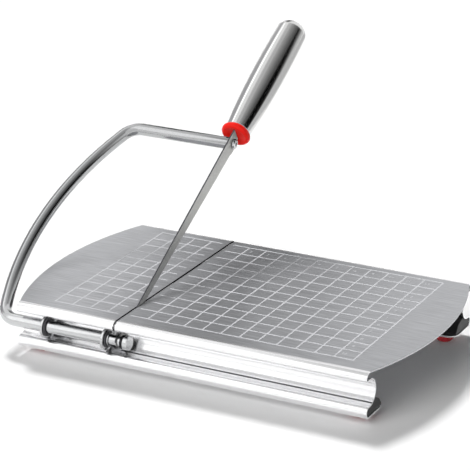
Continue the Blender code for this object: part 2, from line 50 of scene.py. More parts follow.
# %% Sizes of the board
MM = 0.001
BOARD_LENGTH = 0.2720       # over the bowed ends
BOARD_WIDTH = 0.1660        # over the rolled lips
RAIL_LENGTH = 0.2420        # rails, cut off square
SHEET = 0.0010
LIP_HEIGHT = 0.0061         # rolled lip along the front and the back
LIP_ROLL_RADIUS = 0.0060    # the lip rolls gently off the flat, then turns under in a tighter nose
LIP_ROLL_DEG = 50           # how far it turns before the nose
COVE_RADIUS = 0.0081        # hollow of the rail
HINGE_INSET = 0.0057        # from the lip's outer face to the hinge axis
BEAD_RADIUS = 0.0040
BEAD_SETBACK = 0.0008       # bead behind the lip's outer face
FLANGE_REACH = 0.0262       # from the lip's outer face to the flange's inner edge
FLANGE_CORNER = 0.0070
HALF_WIDTH = BOARD_WIDTH / 2
HALF_RAIL = RAIL_LENGTH / 2
ROLL_COSINE = math.cos(math.radians(LIP_ROLL_DEG))
NOSE_RADIUS = (LIP_HEIGHT - LIP_ROLL_RADIUS * (1 - ROLL_COSINE)) / (1 + ROLL_COSINE)
NOSE_Y = NOSE_RADIUS - HALF_WIDTH
NOSE_Z = NOSE_RADIUS - LIP_HEIGHT
NOSE_START_DEG = 90 + LIP_ROLL_DEG
FLAT_HALF_WIDTH = -NOSE_Y - (LIP_ROLL_RADIUS - NOSE_RADIUS) * math.sin(math.radians(LIP_ROLL_DEG))
AXIS_Y = HINGE_INSET - HALF_WIDTH
AXIS_Z = -LIP_HEIGHT - COVE_RADIUS
BEAD_Y = BEAD_SETBACK + BEAD_RADIUS - HALF_WIDTH
BEAD_Z = AXIS_Z - COVE_RADIUS - BEAD_RADIUS
BASE_Z = BEAD_Z - BEAD_RADIUS
SLOT_X = -0.0500            # the slot, the blade and the grip all lie here
BLADE_THICKNESS = 0.0010
FIT = 0.0003                # gap between pieces that touch

# %% [markdown]
# ## Places on the arm
# Everything on the arm is measured along the line from the hinge to the blade's screw.
# So it is modelled in the arm's own axes, lying flat, and then turned up to the resting angle.
# The grip leans a little more, in axes of its own.

# %% Axes of the hinge, the arm and the grip
REST_ANGLE_DEG = 28.3
CLOSED_ANGLE_DEG = 5.0
ARM_REACH = 0.1763
ROD_RADIUS = 0.0041
RING_START = ARM_REACH + ROD_RADIUS + FIT
HANDLE_TILT_DEG = 2.4
HANDLE_OFFSET = 0.0032


def turn_x(degrees):
    return Matrix.Rotation(math.radians(degrees), 4, "X")


AXLE = Matrix.Translation((0, AXIS_Y, AXIS_Z))
SWING = AXLE @ turn_x(REST_ANGLE_DEG)
CLOSED = AXLE @ turn_x(CLOSED_ANGLE_DEG)
GRIP = SWING @ Matrix.Translation((SLOT_X, RING_START, HANDLE_OFFSET)) @ turn_x(HANDLE_TILT_DEG - 90)
ALONG_X = Matrix.Rotation(math.radians(90), 4, "Y")   # lays a turned piece along X
HERE = Matrix.Identity(4)
print("hinge axis, mm:", [round(v / MM, 2) for v in AXLE.translation])

# %% [markdown]
# ## Small modelling tools
# Most pieces are turned, bent or pushed out of a drawn line.
# Real edges are never razor sharp: a tiny rounding on each corner catches the light as a thin bright line.
# So one helper eases the corners of a drawn line before the piece is made from it.

# %% Drawn lines
EASE_STEPS = 4
LEAST_TURN_DEG = 25         # corners that turn less stay as they are
EDGE_PARTS = 2.2            # an eased corner takes at most one part in this many of each edge


def arc(centre, radius, start_deg, end_deg, steps):
    """Points of an arc, both ends included."""
    angles = [math.radians(start_deg + (end_deg - start_deg) * index / steps) for index in range(steps + 1)]
    return [(centre[0] + radius * math.cos(angle), centre[1] + radius * math.sin(angle)) for angle in angles]


def eased(points, radius, closed=False):
    """Rounds the sharp corners of a drawn line."""
    line = []
    last = len(points) - 1
    for index, point in enumerate(points):
        here = Vector(point)
        if not closed and index in (0, last):
            line.append(point)
            continue
        before = Vector(points[index - 1]) - here
        after = Vector(points[(index + 1) % len(points)]) - here
        corner = before.angle(after)
        if math.pi - corner < math.radians(LEAST_TURN_DEG):
            line.append(point)
            continue
        reach = min(radius / math.tan(corner / 2), before.length / EDGE_PARTS, after.length / EDGE_PARTS)
        start = here + before.normalized() * reach
        end = here + after.normalized() * reach
        for step in range(EASE_STEPS + 1):
            t = step / EASE_STEPS
            line.append(tuple(start * (1 - t) ** 2 + here * 2 * t * (1 - t) + end * t ** 2))
    return line


def rectangle(left, low, right, high):
    return [(left, low), (right, low), (right, high), (left, high)]


def plug(start, end, radius):
    """The line that turns into a plain round plug."""
    return [(start, 0), (start, radius), (end, radius), (end, 0)]


print("a rectangle with eased corners has", len(eased(rectangle(0, 0, 10 * MM, 10 * MM), MM, True)), "points")

# %% [markdown]
# Three ways to make a solid cover almost every piece: spinning a profile for the turned parts,
# pushing an outline for the flat ones, and skinning a row of sections for the rest.

# %% Solids from drawn lines
ROUND_SIDES = 64
FINE_SIDES = 128


def wrapped(bm, rings, closed=False):
    """Joins neighbouring rings of points all round. A ring of one point gives a fan."""
    sides = max(len(ring) for ring in rings)
    pairs = list(zip(rings, rings[1:]))
    if closed:
        pairs.append((rings[-1], rings[0]))
    for first, second in pairs:
        for index in range(sides):
            after = (index + 1) % sides
            corners = [first[index % len(first)], first[after % len(first)],
                       second[after % len(second)], second[index % len(second)]]
            kept = [vert for place, vert in enumerate(corners) if vert not in corners[:place]]
            if len(kept) > 2:
                bm.faces.new(kept)


def turned(profile, sides=ROUND_SIDES, closed=False):
    """Spins (along, radius) points about Z."""
    bm = bmesh.new()
    rings = []
    for along, radius in profile:
        angles = [math.tau * index / sides for index in range(sides)] if radius > 0 else [0]
        ring = [(radius * math.cos(angle), radius * math.sin(angle), along) for angle in angles]
        rings.append([bm.verts.new(point) for point in ring])
    wrapped(bm, rings, closed)
    return bm


def pushed(outline, left, right):
    """A YZ outline pushed along X."""
    bm = bmesh.new()
    face = bm.faces.new([bm.verts.new((left, y, z)) for y, z in outline])
    made = bmesh.ops.extrude_face_region(bm, geom=[face])
    far = [item for item in made["geom"] if isinstance(item, bmesh.types.BMVert)]
    bmesh.ops.translate(bm, verts=far, vec=(right - left, 0, 0))
    return bm


def skinned(rows):
    """Joins neighbouring rows of points all round and closes both ends."""
    bm = bmesh.new()
    rings = [[bm.verts.new(point) for point in row] for row in rows]
    wrapped(bm, rings)
    bm.faces.new(rings[0])
    bm.faces.new(rings[-1])
    return bm


trial = turned(plug(0, 10 * MM, 5 * MM))
print("a plain turned disc has", len(trial.faces), "faces")
trial.free()

# %% [markdown]
# Each solid becomes a named object that sits at the origin, with its place in its mesh.
# Modifiers are baked into the mesh at once, so that what is left is a plain piece.

# %% Objects from solids
CRISP_DEG = 32              # edges that turn more than this stay crisp when the piece is shaded smooth
BEVEL_DEG = 50              # edges that turn more than this are eased
BEVEL_SEGMENTS = 3


def shaded(mesh):
    """Smooth shading that keeps the crisp edges."""
    mesh.shade_smooth()
    mesh.set_sharp_from_angle(angle=math.radians(CRISP_DEG))


def new_object(name, data):
    obj = bpy.data.objects.new(name, data)
    bpy.context.scene.collection.objects.link(obj)
    return obj


def solid(name, bm, place=HERE):
    """A named object at the origin, with its place in its mesh."""
    bmesh.ops.transform(bm, matrix=place, verts=bm.verts)
    bmesh.ops.recalc_face_normals(bm, faces=bm.faces)
    mesh = bpy.data.meshes.new(name)
    bm.to_mesh(mesh)
    bm.free()
    shaded(mesh)
    return new_object(name, mesh)


def applied(obj):
    """Bakes the modifiers into a plain mesh and takes them off."""
    depsgraph = bpy.context.evaluated_depsgraph_get()
    mesh = bpy.data.meshes.new_from_object(obj.evaluated_get(depsgraph), depsgraph=depsgraph)
    obj.modifiers.clear()
    obj.data = mesh
    mesh.name = obj.name
    return obj


def bevelled(obj, width):
    """Eases the sharp edges of a finished solid."""
    step = obj.modifiers.new("eased edges", "BEVEL")
    step.width = width
    step.segments = BEVEL_SEGMENTS
    step.limit_method = "ANGLE"
    step.angle_limit = math.radians(BEVEL_DEG)
    return applied(obj)


def carved(obj, *cutters):
    """Cuts the cutters out of a solid, and removes them."""
    for cutter in cutters:
        step = obj.modifiers.new("cut", "BOOLEAN")
        step.operation = "DIFFERENCE"
        step.solver = "EXACT"
        step.object = cutter
    applied(obj)
    for cutter in cutters:
        bpy.data.objects.remove(cutter, do_unlink=True)
    shaded(obj.data)
    return obj


def fitted(obj, body, slot, finish, *replaced):
    """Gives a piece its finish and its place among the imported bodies."""
    obj.data.materials.clear()
    obj.data.materials.append(finish)
    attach(obj, body)
    if replaced:
        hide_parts(*replaced)
    obj.data.calc_loop_triangles()
    print(f"{obj.name}: {len(obj.data.loop_triangles)} triangles on {body}")
    return obj


def refinished(obj, finish, chosen):
    """Gives the faces that a test chooses another finish."""
    obj.data.materials.append(finish)
    faces = [face for face in obj.data.polygons if chosen(face)]
    for face in faces:
        face.material_index = len(obj.data.materials) - 1
    print(f"{obj.name}: {len(faces)} faces in {finish.name}")


print("edges stay crisp over", CRISP_DEG, "degrees and are eased over", BEVEL_DEG)

# %% [markdown]
# ## A helper for nodes
# Materials and geometry trees are both made of nodes.
# One small function adds a node with its settings and its links, so that each tree reads as a list of steps.
# A few more do what many trees need: a fresh start, a place on the object, a sum and a change of range.

# %% Adding a node
SRGB_SPLIT = 0.04045        # sRGB is a straight line below this value and a curve above it


def add(tree, kind, inputs=None, **settings):
    """Adds one node. Inputs are values, or the sockets that feed them."""
    made = tree.nodes.new(kind)
    for name, value in settings.items():
        setattr(made, name, value)
    for name, value in (inputs or {}).items():
        if isinstance(value, bpy.types.NodeSocket):
            tree.links.new(value, made.inputs[name])
        else:
            made.inputs[name].default_value = value
    return made


def linear(hexcode):
    """An sRGB hex colour as the linear values that Blender works in."""
    values = [int(hexcode[place:place + 2], 16) / 255 for place in (1, 3, 5)]
    return (*[v / 12.92 if v <= SRGB_SPLIT else ((v + 0.055) / 1.055) ** 2.4 for v in values], 1)


def emptied(owner):
    """The tree of a material or a world, without the nodes that come with it."""
    owner.use_nodes = True
    owner.node_tree.nodes.clear()
    return owner.node_tree


def place_in(tree):
    return add(tree, "ShaderNodeTexCoord").outputs["Object"]


def maths(tree, operation, *values):
    """The result of one sum of numbers or sockets."""
    return add(tree, "ShaderNodeMath", dict(enumerate(values)), operation=operation).outputs[0]


def vectors(tree, operation, first, second):
    return add(tree, "ShaderNodeVectorMath", {0: first, 1: second}, operation=operation).outputs[0]


def scaled(tree, vector, factor):
    return add(tree, "ShaderNodeVectorMath", {0: vector, "Scale": factor}, operation="SCALE").outputs[0]


def ranged(tree, value, start, end, low=0.0, high=1.0):
    """Runs from low to high while the value runs from start to end."""
    limits = {"From Min": start, "From Max": end, "To Min": low, "To Max": high}
    return add(tree, "ShaderNodeMapRange", {"Value": value, **limits}).outputs["Result"]


print("middle grey #808080 in linear light:", round(linear("#808080")[0], 3))

# %% [markdown]
# ## Finish of the board: brushed stainless sheet
# The sheet is 304 stainless, belt-brushed along its length before it is folded.
# That leaves fine scratches along X, so highlights spread across them and the sheet looks soft grey.
# The scratches are stretched noise. Real ones are about 0.05 mm wide, too fine to show,
# so they are drawn 1.1 mm wide and 22 mm long. The other finishes use the same noise, unstretched.

# %% Brushed stainless sheet
SCRATCH_LENGTH = 22 * MM
SCRATCH_WIDTH = 1.1 * MM
SCRATCH_DEPTH = 0.02 * MM
ACROSS_SPREAD = 0.9         # highlights spread across the scratches, hardly along them


def new_finish(name, metal, size, smooth, coarse, detail, softness=0.5):
    """A material whose roughness runs with noise, which has grains of the given size along X, Y and Z."""
    material = bpy.data.materials.new(name)
    tree = emptied(material)
    shader = add(tree, "ShaderNodeBsdfPrincipled", {"Metallic": metal})
    add(tree, "ShaderNodeOutputMaterial", {"Surface": shader.outputs["BSDF"]})
    grains = add(tree, "ShaderNodeMapping",
                 {"Vector": place_in(tree), "Scale": [1 / length for length in size]}).outputs[0]
    noise = add(tree, "ShaderNodeTexNoise",
                {"Vector": grains, "Scale": 1, "Detail": detail, "Roughness": softness}).outputs["Fac"]
    tree.links.new(ranged(tree, noise, 0, 1, smooth, coarse), shader.inputs["Roughness"])
    return material, tree, shader.inputs, noise


def coloured(tree, surface, noise, dark, light, margin):
    """Runs the colour from dark to light as the noise runs from the margin to as much short of 1."""
    shade = add(tree, "ShaderNodeValToRGB", {"Fac": noise})
    for stop, position, hexcode in zip(shade.color_ramp.elements, (margin, 1 - margin), (dark, light)):
        stop.position = position
        stop.color = linear(hexcode)
    tree.links.new(shade.outputs["Color"], surface["Base Color"])


def embossed(tree, surface, noise, strength, depth):
    bump = add(tree, "ShaderNodeBump", {"Height": noise, "Strength": strength, "Distance": depth})
    tree.links.new(bump.outputs["Normal"], surface["Normal"])


def brushed_sheet():
    scratches = (SCRATCH_LENGTH, SCRATCH_WIDTH, SCRATCH_WIDTH)
    material, tree, surface, noise = new_finish("brushed_stainless_sheet", 1, scratches, smooth=0.30,
                                                coarse=0.38, detail=4, softness=0.6)
    coloured(tree, surface, noise, "#AAABAE", "#C8C9CC", margin=0.30)
    embossed(tree, surface, noise, strength=0.25, depth=SCRATCH_DEPTH)
    across = add(tree, "ShaderNodeTangent", direction_type="RADIAL", axis="X")
    tree.links.new(across.outputs["Tangent"], surface["Tangent"])
    surface["Anisotropic"].default_value = ACROSS_SPREAD
    return material


BRUSHED_SHEET = brushed_sheet()
print("made", BRUSHED_SHEET.name)

# %% [markdown]
# ## Finish of the small turned parts: buffed stainless
# They are buffed to a near mirror. Only faint marks are left, so the roughness is low and nearly even.
# The same tree in other shades, and duller, makes the grip, the rails, the blade, the dark oxide, the darker
# spine, and the painted shade in the slot and low in the cove.

# %% Buffed stainless
BUFF_GRAIN = 1.2 * MM


def buffed_steel(name, light, dark, smooth, coarse):
    material, tree, surface, noise = new_finish(name, 1, [BUFF_GRAIN] * 3, smooth, coarse, detail=3)
    coloured(tree, surface, noise, dark, light, margin=0.25)
    return material


BUFFED_ROD = buffed_steel("buffed_stainless_rod", "#C8C9CA", "#C0C1C2", 0.10, 0.13)
SATIN_GRIP = buffed_steel("satin_stainless_grip", "#DCDCDB", "#D6D6D6", 0.12, 0.14)
GROUND_BLADE = buffed_steel("ground_blade_steel", "#BEBEBC", "#AEAEAC", 0.42, 0.52)
BLACK_OXIDE = buffed_steel("black_oxide_steel", "#3A3A3D", "#2A2A2C", 0.30, 0.42)
# Painted shade: near-black steel for the walls of the slot, where shade falls.
PAINTED_SLOT_SHADE = buffed_steel("painted_slot_shade_steel", "#1C1C1F", "#121214", 0.55, 0.70)
# A darker steel for the blade's spine faces.
DARK_SPINE_STEEL = buffed_steel("darker_spine_steel", "#58585B", "#4A4A4D", 0.35, 0.45)
POLISHED_SHEET = buffed_steel("buffed_stainless_rail", "#F6F6F7", "#F0F0F1", 0.21, 0.25)
# Painted shade: a dark steel for the crease low in the cove, where shade falls.
PAINTED_CREASE_SHADE = buffed_steel("painted_crease_shade_steel", "#6C6C6E", "#5E5E60", 0.30, 0.40)
print("made", BUFFED_ROD.name, SATIN_GRIP.name, GROUND_BLADE.name, BLACK_OXIDE.name)

# %% [markdown]
# The rod's colour is painted darker with the distance from the hinge's axis: painted shade that stands for
# the greyer reflections along the bow, while the end that turns in the hinge stays bright.

# %% Painted shade that darkens the rod away from the hinge
BRIGHT_REACH = 6 * MM
GREY_REACH = 30 * MM
PAINTED_SHADE_SHARE = 0.77           # of the bright steel's colour


def painted_shade_away(material):
    tree = material.node_tree
    colour = tree.nodes["Principled BSDF"].inputs["Base Color"]
    off = vectors(tree, "SUBTRACT", place_in(tree), AXLE.translation)
    across = vectors(tree, "MULTIPLY", off, (0, 1, 1))
    away = add(tree, "ShaderNodeVectorMath", {0: across}, operation="LENGTH").outputs["Value"]
    share = ranged(tree, away, BRIGHT_REACH, GREY_REACH, 1, PAINTED_SHADE_SHARE)
    tree.links.new(scaled(tree, colour.links[0].from_socket, share), colour)
    return material


# Painted shade: the rod's colour darkens away from the hinge.
ROD_WITH_PAINTED_SHADE = painted_shade_away(buffed_steel("stainless_rod_with_painted_shade", "#C8C9CA", "#C0C1C2", 0.10, 0.13))
print("made", ROD_WITH_PAINTED_SHADE.name)

# %% [markdown]
# ## Finishes of the moulded parts
# The strips are moulded ABS with a fine spark-eroded texture.
# The bushes are nylon, the ring at the grip is silicone rubber, and the feet are clear red PVC,
# which lets some light through and tints the table below it. The printed ink is made the same way.

# %% Moulded plastics and rubber
MOULD_GRAIN = 0.4 * MM
MOULD_DEPTH = 0.03 * MM
MOULD_SPREAD = 0.05         # of the roughness, to both sides
RED_TRAVEL = (1.0, 0.12, 0.08)      # in red rubber only red light travels far


def moulded(name, hexcode, roughness, relief, **values):
    """Values are further inputs of the main shader, with _ for a space."""
    material, tree, surface, noise = new_finish(name, 0, [MOULD_GRAIN] * 3, roughness - MOULD_SPREAD,
                                                roughness + MOULD_SPREAD, detail=2)
    embossed(tree, surface, noise, relief, MOULD_DEPTH)
    for title, value in {"Base_Color": linear(hexcode), **values}.items():
        surface[title.replace("_", " ")].default_value = value
    return material


BLACK_ABS = moulded("moulded_black_abs", "#1B1C1E", 0.50, 0.4)
GREY_NYLON = moulded("moulded_grey_nylon", "#4A4A4D", 0.45, 0.2)
RED_SILICONE = moulded("red_silicone_rubber", "#FF1D10", 0.50, 0.15, Subsurface_Weight=0.6,
                       Subsurface_Radius=RED_TRAVEL, Subsurface_Scale=5 * MM, Specular_IOR_Level=0.25)
RED_PVC = moulded("clear_red_pvc", "#D01526", 0.25, 0.1, Subsurface_Weight=0.5,
                  Subsurface_Radius=RED_TRAVEL, Subsurface_Scale=6 * MM, Transmission_Weight=0.5, IOR=1.53)
WHITE_INK = moulded("white_epoxy_ink", "#CBCCCF", 0.55, 0.1)
print("made", BLACK_ABS.name, GREY_NYLON.name, RED_SILICONE.name, RED_PVC.name, WHITE_INK.name)

# %% [markdown]
# ## The board
# One sheet is folded over the whole width: bottom flange, bead, cove, rolled lip, flat top,
# and the same again. A drawn section of that line is pushed along X. The half length changes
# from row to row, because the flat's ends are bowed and the rails are cut off square.

# %% Section of the folded sheet
ROLL_STEPS = 14
LIP_STEPS = 22              # round the nose and the bead
COVE_STEPS = 40
FLAT_STEPS = 80
CORNER_STEPS = 10


def bowed_half_length(y):
    bow = (BOARD_LENGTH - RAIL_LENGTH) / 2
    radius = (FLAT_HALF_WIDTH ** 2 + bow ** 2) / (2 * bow)
    return math.sqrt(radius ** 2 - y ** 2) + BOARD_LENGTH / 2 - radius


def rail_section():
    """(seen point, hidden point, half length) down the front rail."""
    section = []
    for centre, seen, hidden, start, end, steps in (
            ((-FLAT_HALF_WIDTH, -LIP_ROLL_RADIUS), LIP_ROLL_RADIUS, LIP_ROLL_RADIUS - SHEET,
             90, NOSE_START_DEG - LIP_ROLL_DEG / ROLL_STEPS, ROLL_STEPS - 1),
            ((NOSE_Y, NOSE_Z), NOSE_RADIUS, NOSE_RADIUS - SHEET, NOSE_START_DEG, 270, LIP_STEPS),
            ((AXIS_Y, AXIS_Z), COVE_RADIUS, COVE_RADIUS + SHEET, 90, -90, COVE_STEPS),
            ((BEAD_Y, BEAD_Z), BEAD_RADIUS, BEAD_RADIUS - SHEET, 90, 270, LIP_STEPS)):
        for pair in zip(arc(centre, seen, start, end, steps), arc(centre, hidden, start, end, steps)):
            section.append((*pair, HALF_RAIL))
    for along, across in arc((0, 0), FLANGE_CORNER, 90, 0, CORNER_STEPS):
        y = FLANGE_REACH - HALF_WIDTH - FLANGE_CORNER + along
        section.append(((y, BASE_Z), (y, BASE_Z + SHEET), HALF_RAIL - FLANGE_CORNER + across))
    return section


def sheet_rows():
    front = rail_section()
    back = [((-seen[0], seen[1]), (-hidden[0], hidden[1]), half) for seen, hidden, half in front]
    across = [FLAT_HALF_WIDTH * (2 * index / FLAT_STEPS - 1) for index in range(1, FLAT_STEPS)]
    flat = [((y, 0), (y, -SHEET), bowed_half_length(y)) for y in across]
    return [[(-half, *seen), (half, *seen), (half, *hidden), (-half, *hidden)]
            for seen, hidden, half in front[::-1] + flat + back]


print("rows in the section:", len(sheet_rows()))

# %% [markdown]
# ## The slot
# The closed blade lies in a slot through the flat, both lips and the cove.
# The cutter for it is a plate that lies at the closed angle, a little wider and deeper than the blade.

# %% Board with its slot
SLOT_SIDE_GAP = 0.0003
SLOT_UNDER_GAP = 0.0007
SLOT_HALF = BLADE_THICKNESS / 2 + SLOT_SIDE_GAP
BLADE_EDGE = 0.0036         # from the arm's line down to the blade's edge
OVERRUN = 0.0020            # cutters reach this far past what they cut
SHEET_EASE = 0.00025        # rounding of the cut sheet's edges
FOOT_PLUG_RADIUS = 0.0023
FOOT_INSET_X = 0.0106
FOOT_INSET_Y = 0.0180
DRILL_SIDES = 48


def foot_places():
    x = HALF_RAIL - FOOT_INSET_X
    y = HALF_WIDTH - FOOT_INSET_Y
    return {"front_left": (-x, -y), "front_right": (x, -y), "back_left": (-x, y), "back_right": (x, y)}


def slot_plate():
    outline = rectangle(-HINGE_INSET - OVERRUN, -BLADE_EDGE - SLOT_UNDER_GAP, ARM_REACH, ARM_REACH)
    return solid("slot_plate", pushed(outline, SLOT_X - SLOT_HALF, SLOT_X + SLOT_HALF), CLOSED)


def foot_drills():
    profile = plug(BASE_Z - OVERRUN, BASE_Z + OVERRUN, FOOT_PLUG_RADIUS + FIT)
    return [solid("drill_" + name, turned(profile, DRILL_SIDES), Matrix.Translation((x, y, 0)))
            for name, (x, y) in foot_places().items()]


board = bevelled(solid("folded_board", skinned(sheet_rows())), SHEET_EASE)
board = carved(board, slot_plate(), *foot_drills())
fitted(board, "base", "brushed_sheet", BRUSHED_SHEET, "board")

# %% [markdown]
# The top is brushed, and the lips, coves and beads are buffed bright after folding.
# So the faces that aren't on the flat get the buffed finish.

# %% Buffed rails


def off_flat(face):
    return abs(face.center.y) > FLAT_HALF_WIDTH or face.center.z < -2 * SHEET


refinished(board, POLISHED_SHEET, off_flat)

# %% [markdown]
# In the photograph a thin dark line runs low along the cove, to the right of the hinge.
# It is painted shade of the crease, given to the faces there as a dark steel where shade falls. The long
# faces of the cove are first parted at the slot, so that the painted shade can start there.

# %% Painted shade low in the cove
CREASE_SHADE_DEG = (62, 73)         # below the hinge's height, round the cove
CREASE_SHADE_DEPTH = SHEET / 4      # only the seen side of the sheet gets the painted shade


def in_painted_crease_shade(face):
    """Picks the faces for the painted shade of the crease, measured from the hinge's axis, and mirrored for
    the cove at the back.
    """
    lie = Vector((-AXIS_Y - abs(face.center.y), AXIS_Z - face.center.z))
    around = math.degrees(math.atan2(lie.y, lie.x))
    in_cove = face.center.x > SLOT_X and lie.length < COVE_RADIUS + CREASE_SHADE_DEPTH
    return in_cove and CREASE_SHADE_DEG[0] < around < CREASE_SHADE_DEG[1]


bm = bmesh.new()
bm.from_mesh(board.data)
whole_board = [*bm.verts, *bm.edges, *bm.faces]
bmesh.ops.bisect_plane(bm, geom=whole_board, plane_co=(SLOT_X, 0, 0), plane_no=(1, 0, 0))
bm.to_mesh(board.data)
bm.free()
# The crease low in the cove gets a dark steel: painted shade.
refinished(board, PAINTED_CREASE_SHADE, in_painted_crease_shade)

# %% [markdown]
# The slot is cut with a laser after folding. Its narrow walls get a near-black steel, painted shade of the
# deep narrow slot, which is why the slot reads as a black line from every side.

# %% Painted shade on the walls of the slot
SQUARE_LEAST = 0.99         # the X of a normal that looks straight along X


def on_wall(face):
    return abs(face.normal.x) > SQUARE_LEAST and abs(abs(face.center.x - SLOT_X) - SLOT_HALF) < SHEET_EASE


# The walls of the slot get painted shade.
refinished(board, PAINTED_SLOT_SHADE, on_wall)

# %% [markdown]
# ## The printed grid
# Squares of half an inch are printed on the board in white ink, on both sides of the slot.
# Lines repeat by a rule, so Geometry Nodes lay them: a row of points one pitch apart,
# with a thin bar of ink on each. The same tree serves for every set of lines.

# %% A tree that lays parallel lines
PITCH = 12.7 * MM
INK_WIDTH = 1.0 * MM        # of the columns
ROW_WIDTH = 1.2 * MM
INK_HEIGHT = 0.04 * MM
ROW_SHARE = 0.6             # rows are printed first and thinner, so columns cross on top of them


def new_tree(name, **kinds):
    """A geometry tree and its inputs, each given by its name and kind."""
    tree = bpy.data.node_groups.new(name, "GeometryNodeTree")
    tree.interface.new_socket("Geometry", in_out="OUTPUT", socket_type="NodeSocketGeometry")
    for title, kind in kinds.items():
        tree.interface.new_socket(title, in_out="INPUT", socket_type="NodeSocket" + kind)
    return tree, add(tree, "NodeGroupInput").outputs


def ended(tree, geometry, material):
    """Ends a tree with real geometry in one material."""
    real = add(tree, "GeometryNodeRealizeInstances", {"Geometry": geometry})
    finished = add(tree, "GeometryNodeSetMaterial", {"Geometry": real.outputs[0], "Material": material})
    add(tree, "NodeGroupOutput", {"Geometry": finished.outputs["Geometry"]})
    return tree


def run(tree, name, mesh=None, **values):
    """Runs a tree on a mesh, or on nothing, and keeps its result as a plain piece."""
    obj = new_object(name, mesh or bpy.data.meshes.new(name))
    step = obj.modifiers.new(name, "NODES")
    step.node_group = tree
    for item in tree.interface.items_tree:
        if item.in_out == "INPUT" and item.name in values:
            step[item.identifier] = values[item.name]
    return applied(obj)


def line_tree():
    tree, given = new_tree("parallel ink lines", Count="Int", First="Vector", Step="Vector", Bar="Vector",
                           Ink="Material")
    points = add(tree, "GeometryNodeMeshLine",
                 {"Count": given["Count"], "Start Location": given["First"], "Offset": given["Step"]})
    bar = add(tree, "GeometryNodeMeshCube", {"Size": given["Bar"]})
    laid = add(tree, "GeometryNodeInstanceOnPoints",
               {"Points": points.outputs["Mesh"], "Instance": bar.outputs["Mesh"]})
    return ended(tree, laid.outputs["Instances"], given["Ink"])


LINE_TREE = line_tree()
print("tree inputs:", [item.name for item in LINE_TREE.interface.items_tree if item.in_out == "INPUT"])

# %% [markdown]
# Right of the slot there are twelve columns, left of it four, which sit a little nearer the front.
# The slot cuts the rows, so each side has rows of its own.

# %% Lines on both sides of the slot
RIGHT_FIRST = -47.12 * MM   # where the squares right of the slot are counted from
RIGHT_COLUMNS = 12
LEFT_COLUMNS = 4
FRONT_ROW = -67.3 * MM
LEFT_SHIFT = -0.9 * MM      # the left squares were printed a little nearer the front
ROWS = 12
ROW_START = SLOT_X + 3.2 * MM
ROW_END_LEFT = SLOT_X - 5.0 * MM


def ruled_grid():
    half = INK_HEIGHT / 2
    low = half * ROW_SHARE
    span = (ROWS - 1) * PITCH
    right_end = RIGHT_FIRST + RIGHT_COLUMNS * PITCH
    left_end = SLOT_X - LEFT_COLUMNS * PITCH
    columns, rows = [], []
    for side, count, first_x, start, end, shift in (
            ("right", RIGHT_COLUMNS, RIGHT_FIRST + PITCH, ROW_START, right_end, 0),
            ("left", LEFT_COLUMNS, left_end, left_end, ROW_END_LEFT, LEFT_SHIFT)):
        first = (first_x, FRONT_ROW + span / 2 + shift, half)
        columns.append(run(LINE_TREE, "columns_" + side, Count=count, First=first, Step=(PITCH, 0, 0),
                           Bar=(INK_WIDTH, span + INK_WIDTH, INK_HEIGHT), Ink=WHITE_INK))
        first = ((start + end) / 2, FRONT_ROW + shift, low)
        rows.append(run(LINE_TREE, "rows_" + side, Count=ROWS, First=first, Step=(0, PITCH, 0),
                        Bar=(end - start, ROW_WIDTH, 2 * low), Ink=WHITE_INK))
    return columns + rows


def joined(name, parts):
    """One mesh from several pieces at the origin."""
    bm = bmesh.new()
    for part in parts:
        bm.from_mesh(part.data)
        bpy.data.objects.remove(part, do_unlink=True)
    return solid(name, bm)


fitted(joined("printed_grid", ruled_grid()), "base", "brushed_sheet", WHITE_INK)

# %% [markdown]
# ## The printed numbers
# Small plain numbers count the squares along the back and down the right side.
# A repeat zone in Geometry Nodes writes them: each turn makes the next number and moves one step on.

# %% A tree that counts
DIGIT_HEIGHT = 3.6 * MM
NUMBER_BACK = 2.4 * MM      # the numbers stand left of the middle of their squares


def number_tree():
    tree, given = new_tree("counted numbers", Count="Int", First="Vector", Step="Vector", Height="Float",
                           Thickness="Float", Ink="Material")
    start = add(tree, "GeometryNodeRepeatInput", {"Iterations": given["Count"]})
    end = add(tree, "GeometryNodeRepeatOutput")
    start.pair_with_output(end)
    end.repeat_items.clear()
    end.repeat_items.new("GEOMETRY", "Written")
    turn = start.outputs["Iteration"]
    text = add(tree, "FunctionNodeValueToString", {"Value": maths(tree, "ADD", turn, 1)}).outputs["String"]
    written = add(tree, "GeometryNodeStringToCurves", {"String": text, "Size": given["Height"]},
                  align_x="CENTER", align_y="MIDDLE")
    flat = add(tree, "GeometryNodeRealizeInstances", {"Geometry": written.outputs["Curve Instances"]})
    filled = add(tree, "GeometryNodeFillCurve", {"Curve": flat.outputs["Geometry"]})
    spot = vectors(tree, "ADD", given["First"], scaled(tree, given["Step"], turn))
    moved = add(tree, "GeometryNodeTransform", {"Geometry": filled.outputs["Mesh"], "Translation": spot})
    thick = add(tree, "GeometryNodeExtrudeMesh",
                {"Mesh": moved.outputs["Geometry"], "Offset Scale": given["Thickness"], "Individual": False})
    so_far = add(tree, "GeometryNodeJoinGeometry")
    for geometry in (start.outputs["Written"], thick.outputs["Mesh"]):
        tree.links.new(geometry, so_far.inputs[0])
    tree.links.new(so_far.outputs[0], end.inputs["Written"])
    return ended(tree, end.outputs["Written"], given["Ink"])


NUMBER_TREE = number_tree()


def numbers(name, count, first, step):
    return run(NUMBER_TREE, name, Count=count, First=first, Step=step, Height=DIGIT_HEIGHT,
               Thickness=INK_HEIGHT, Ink=WHITE_INK)


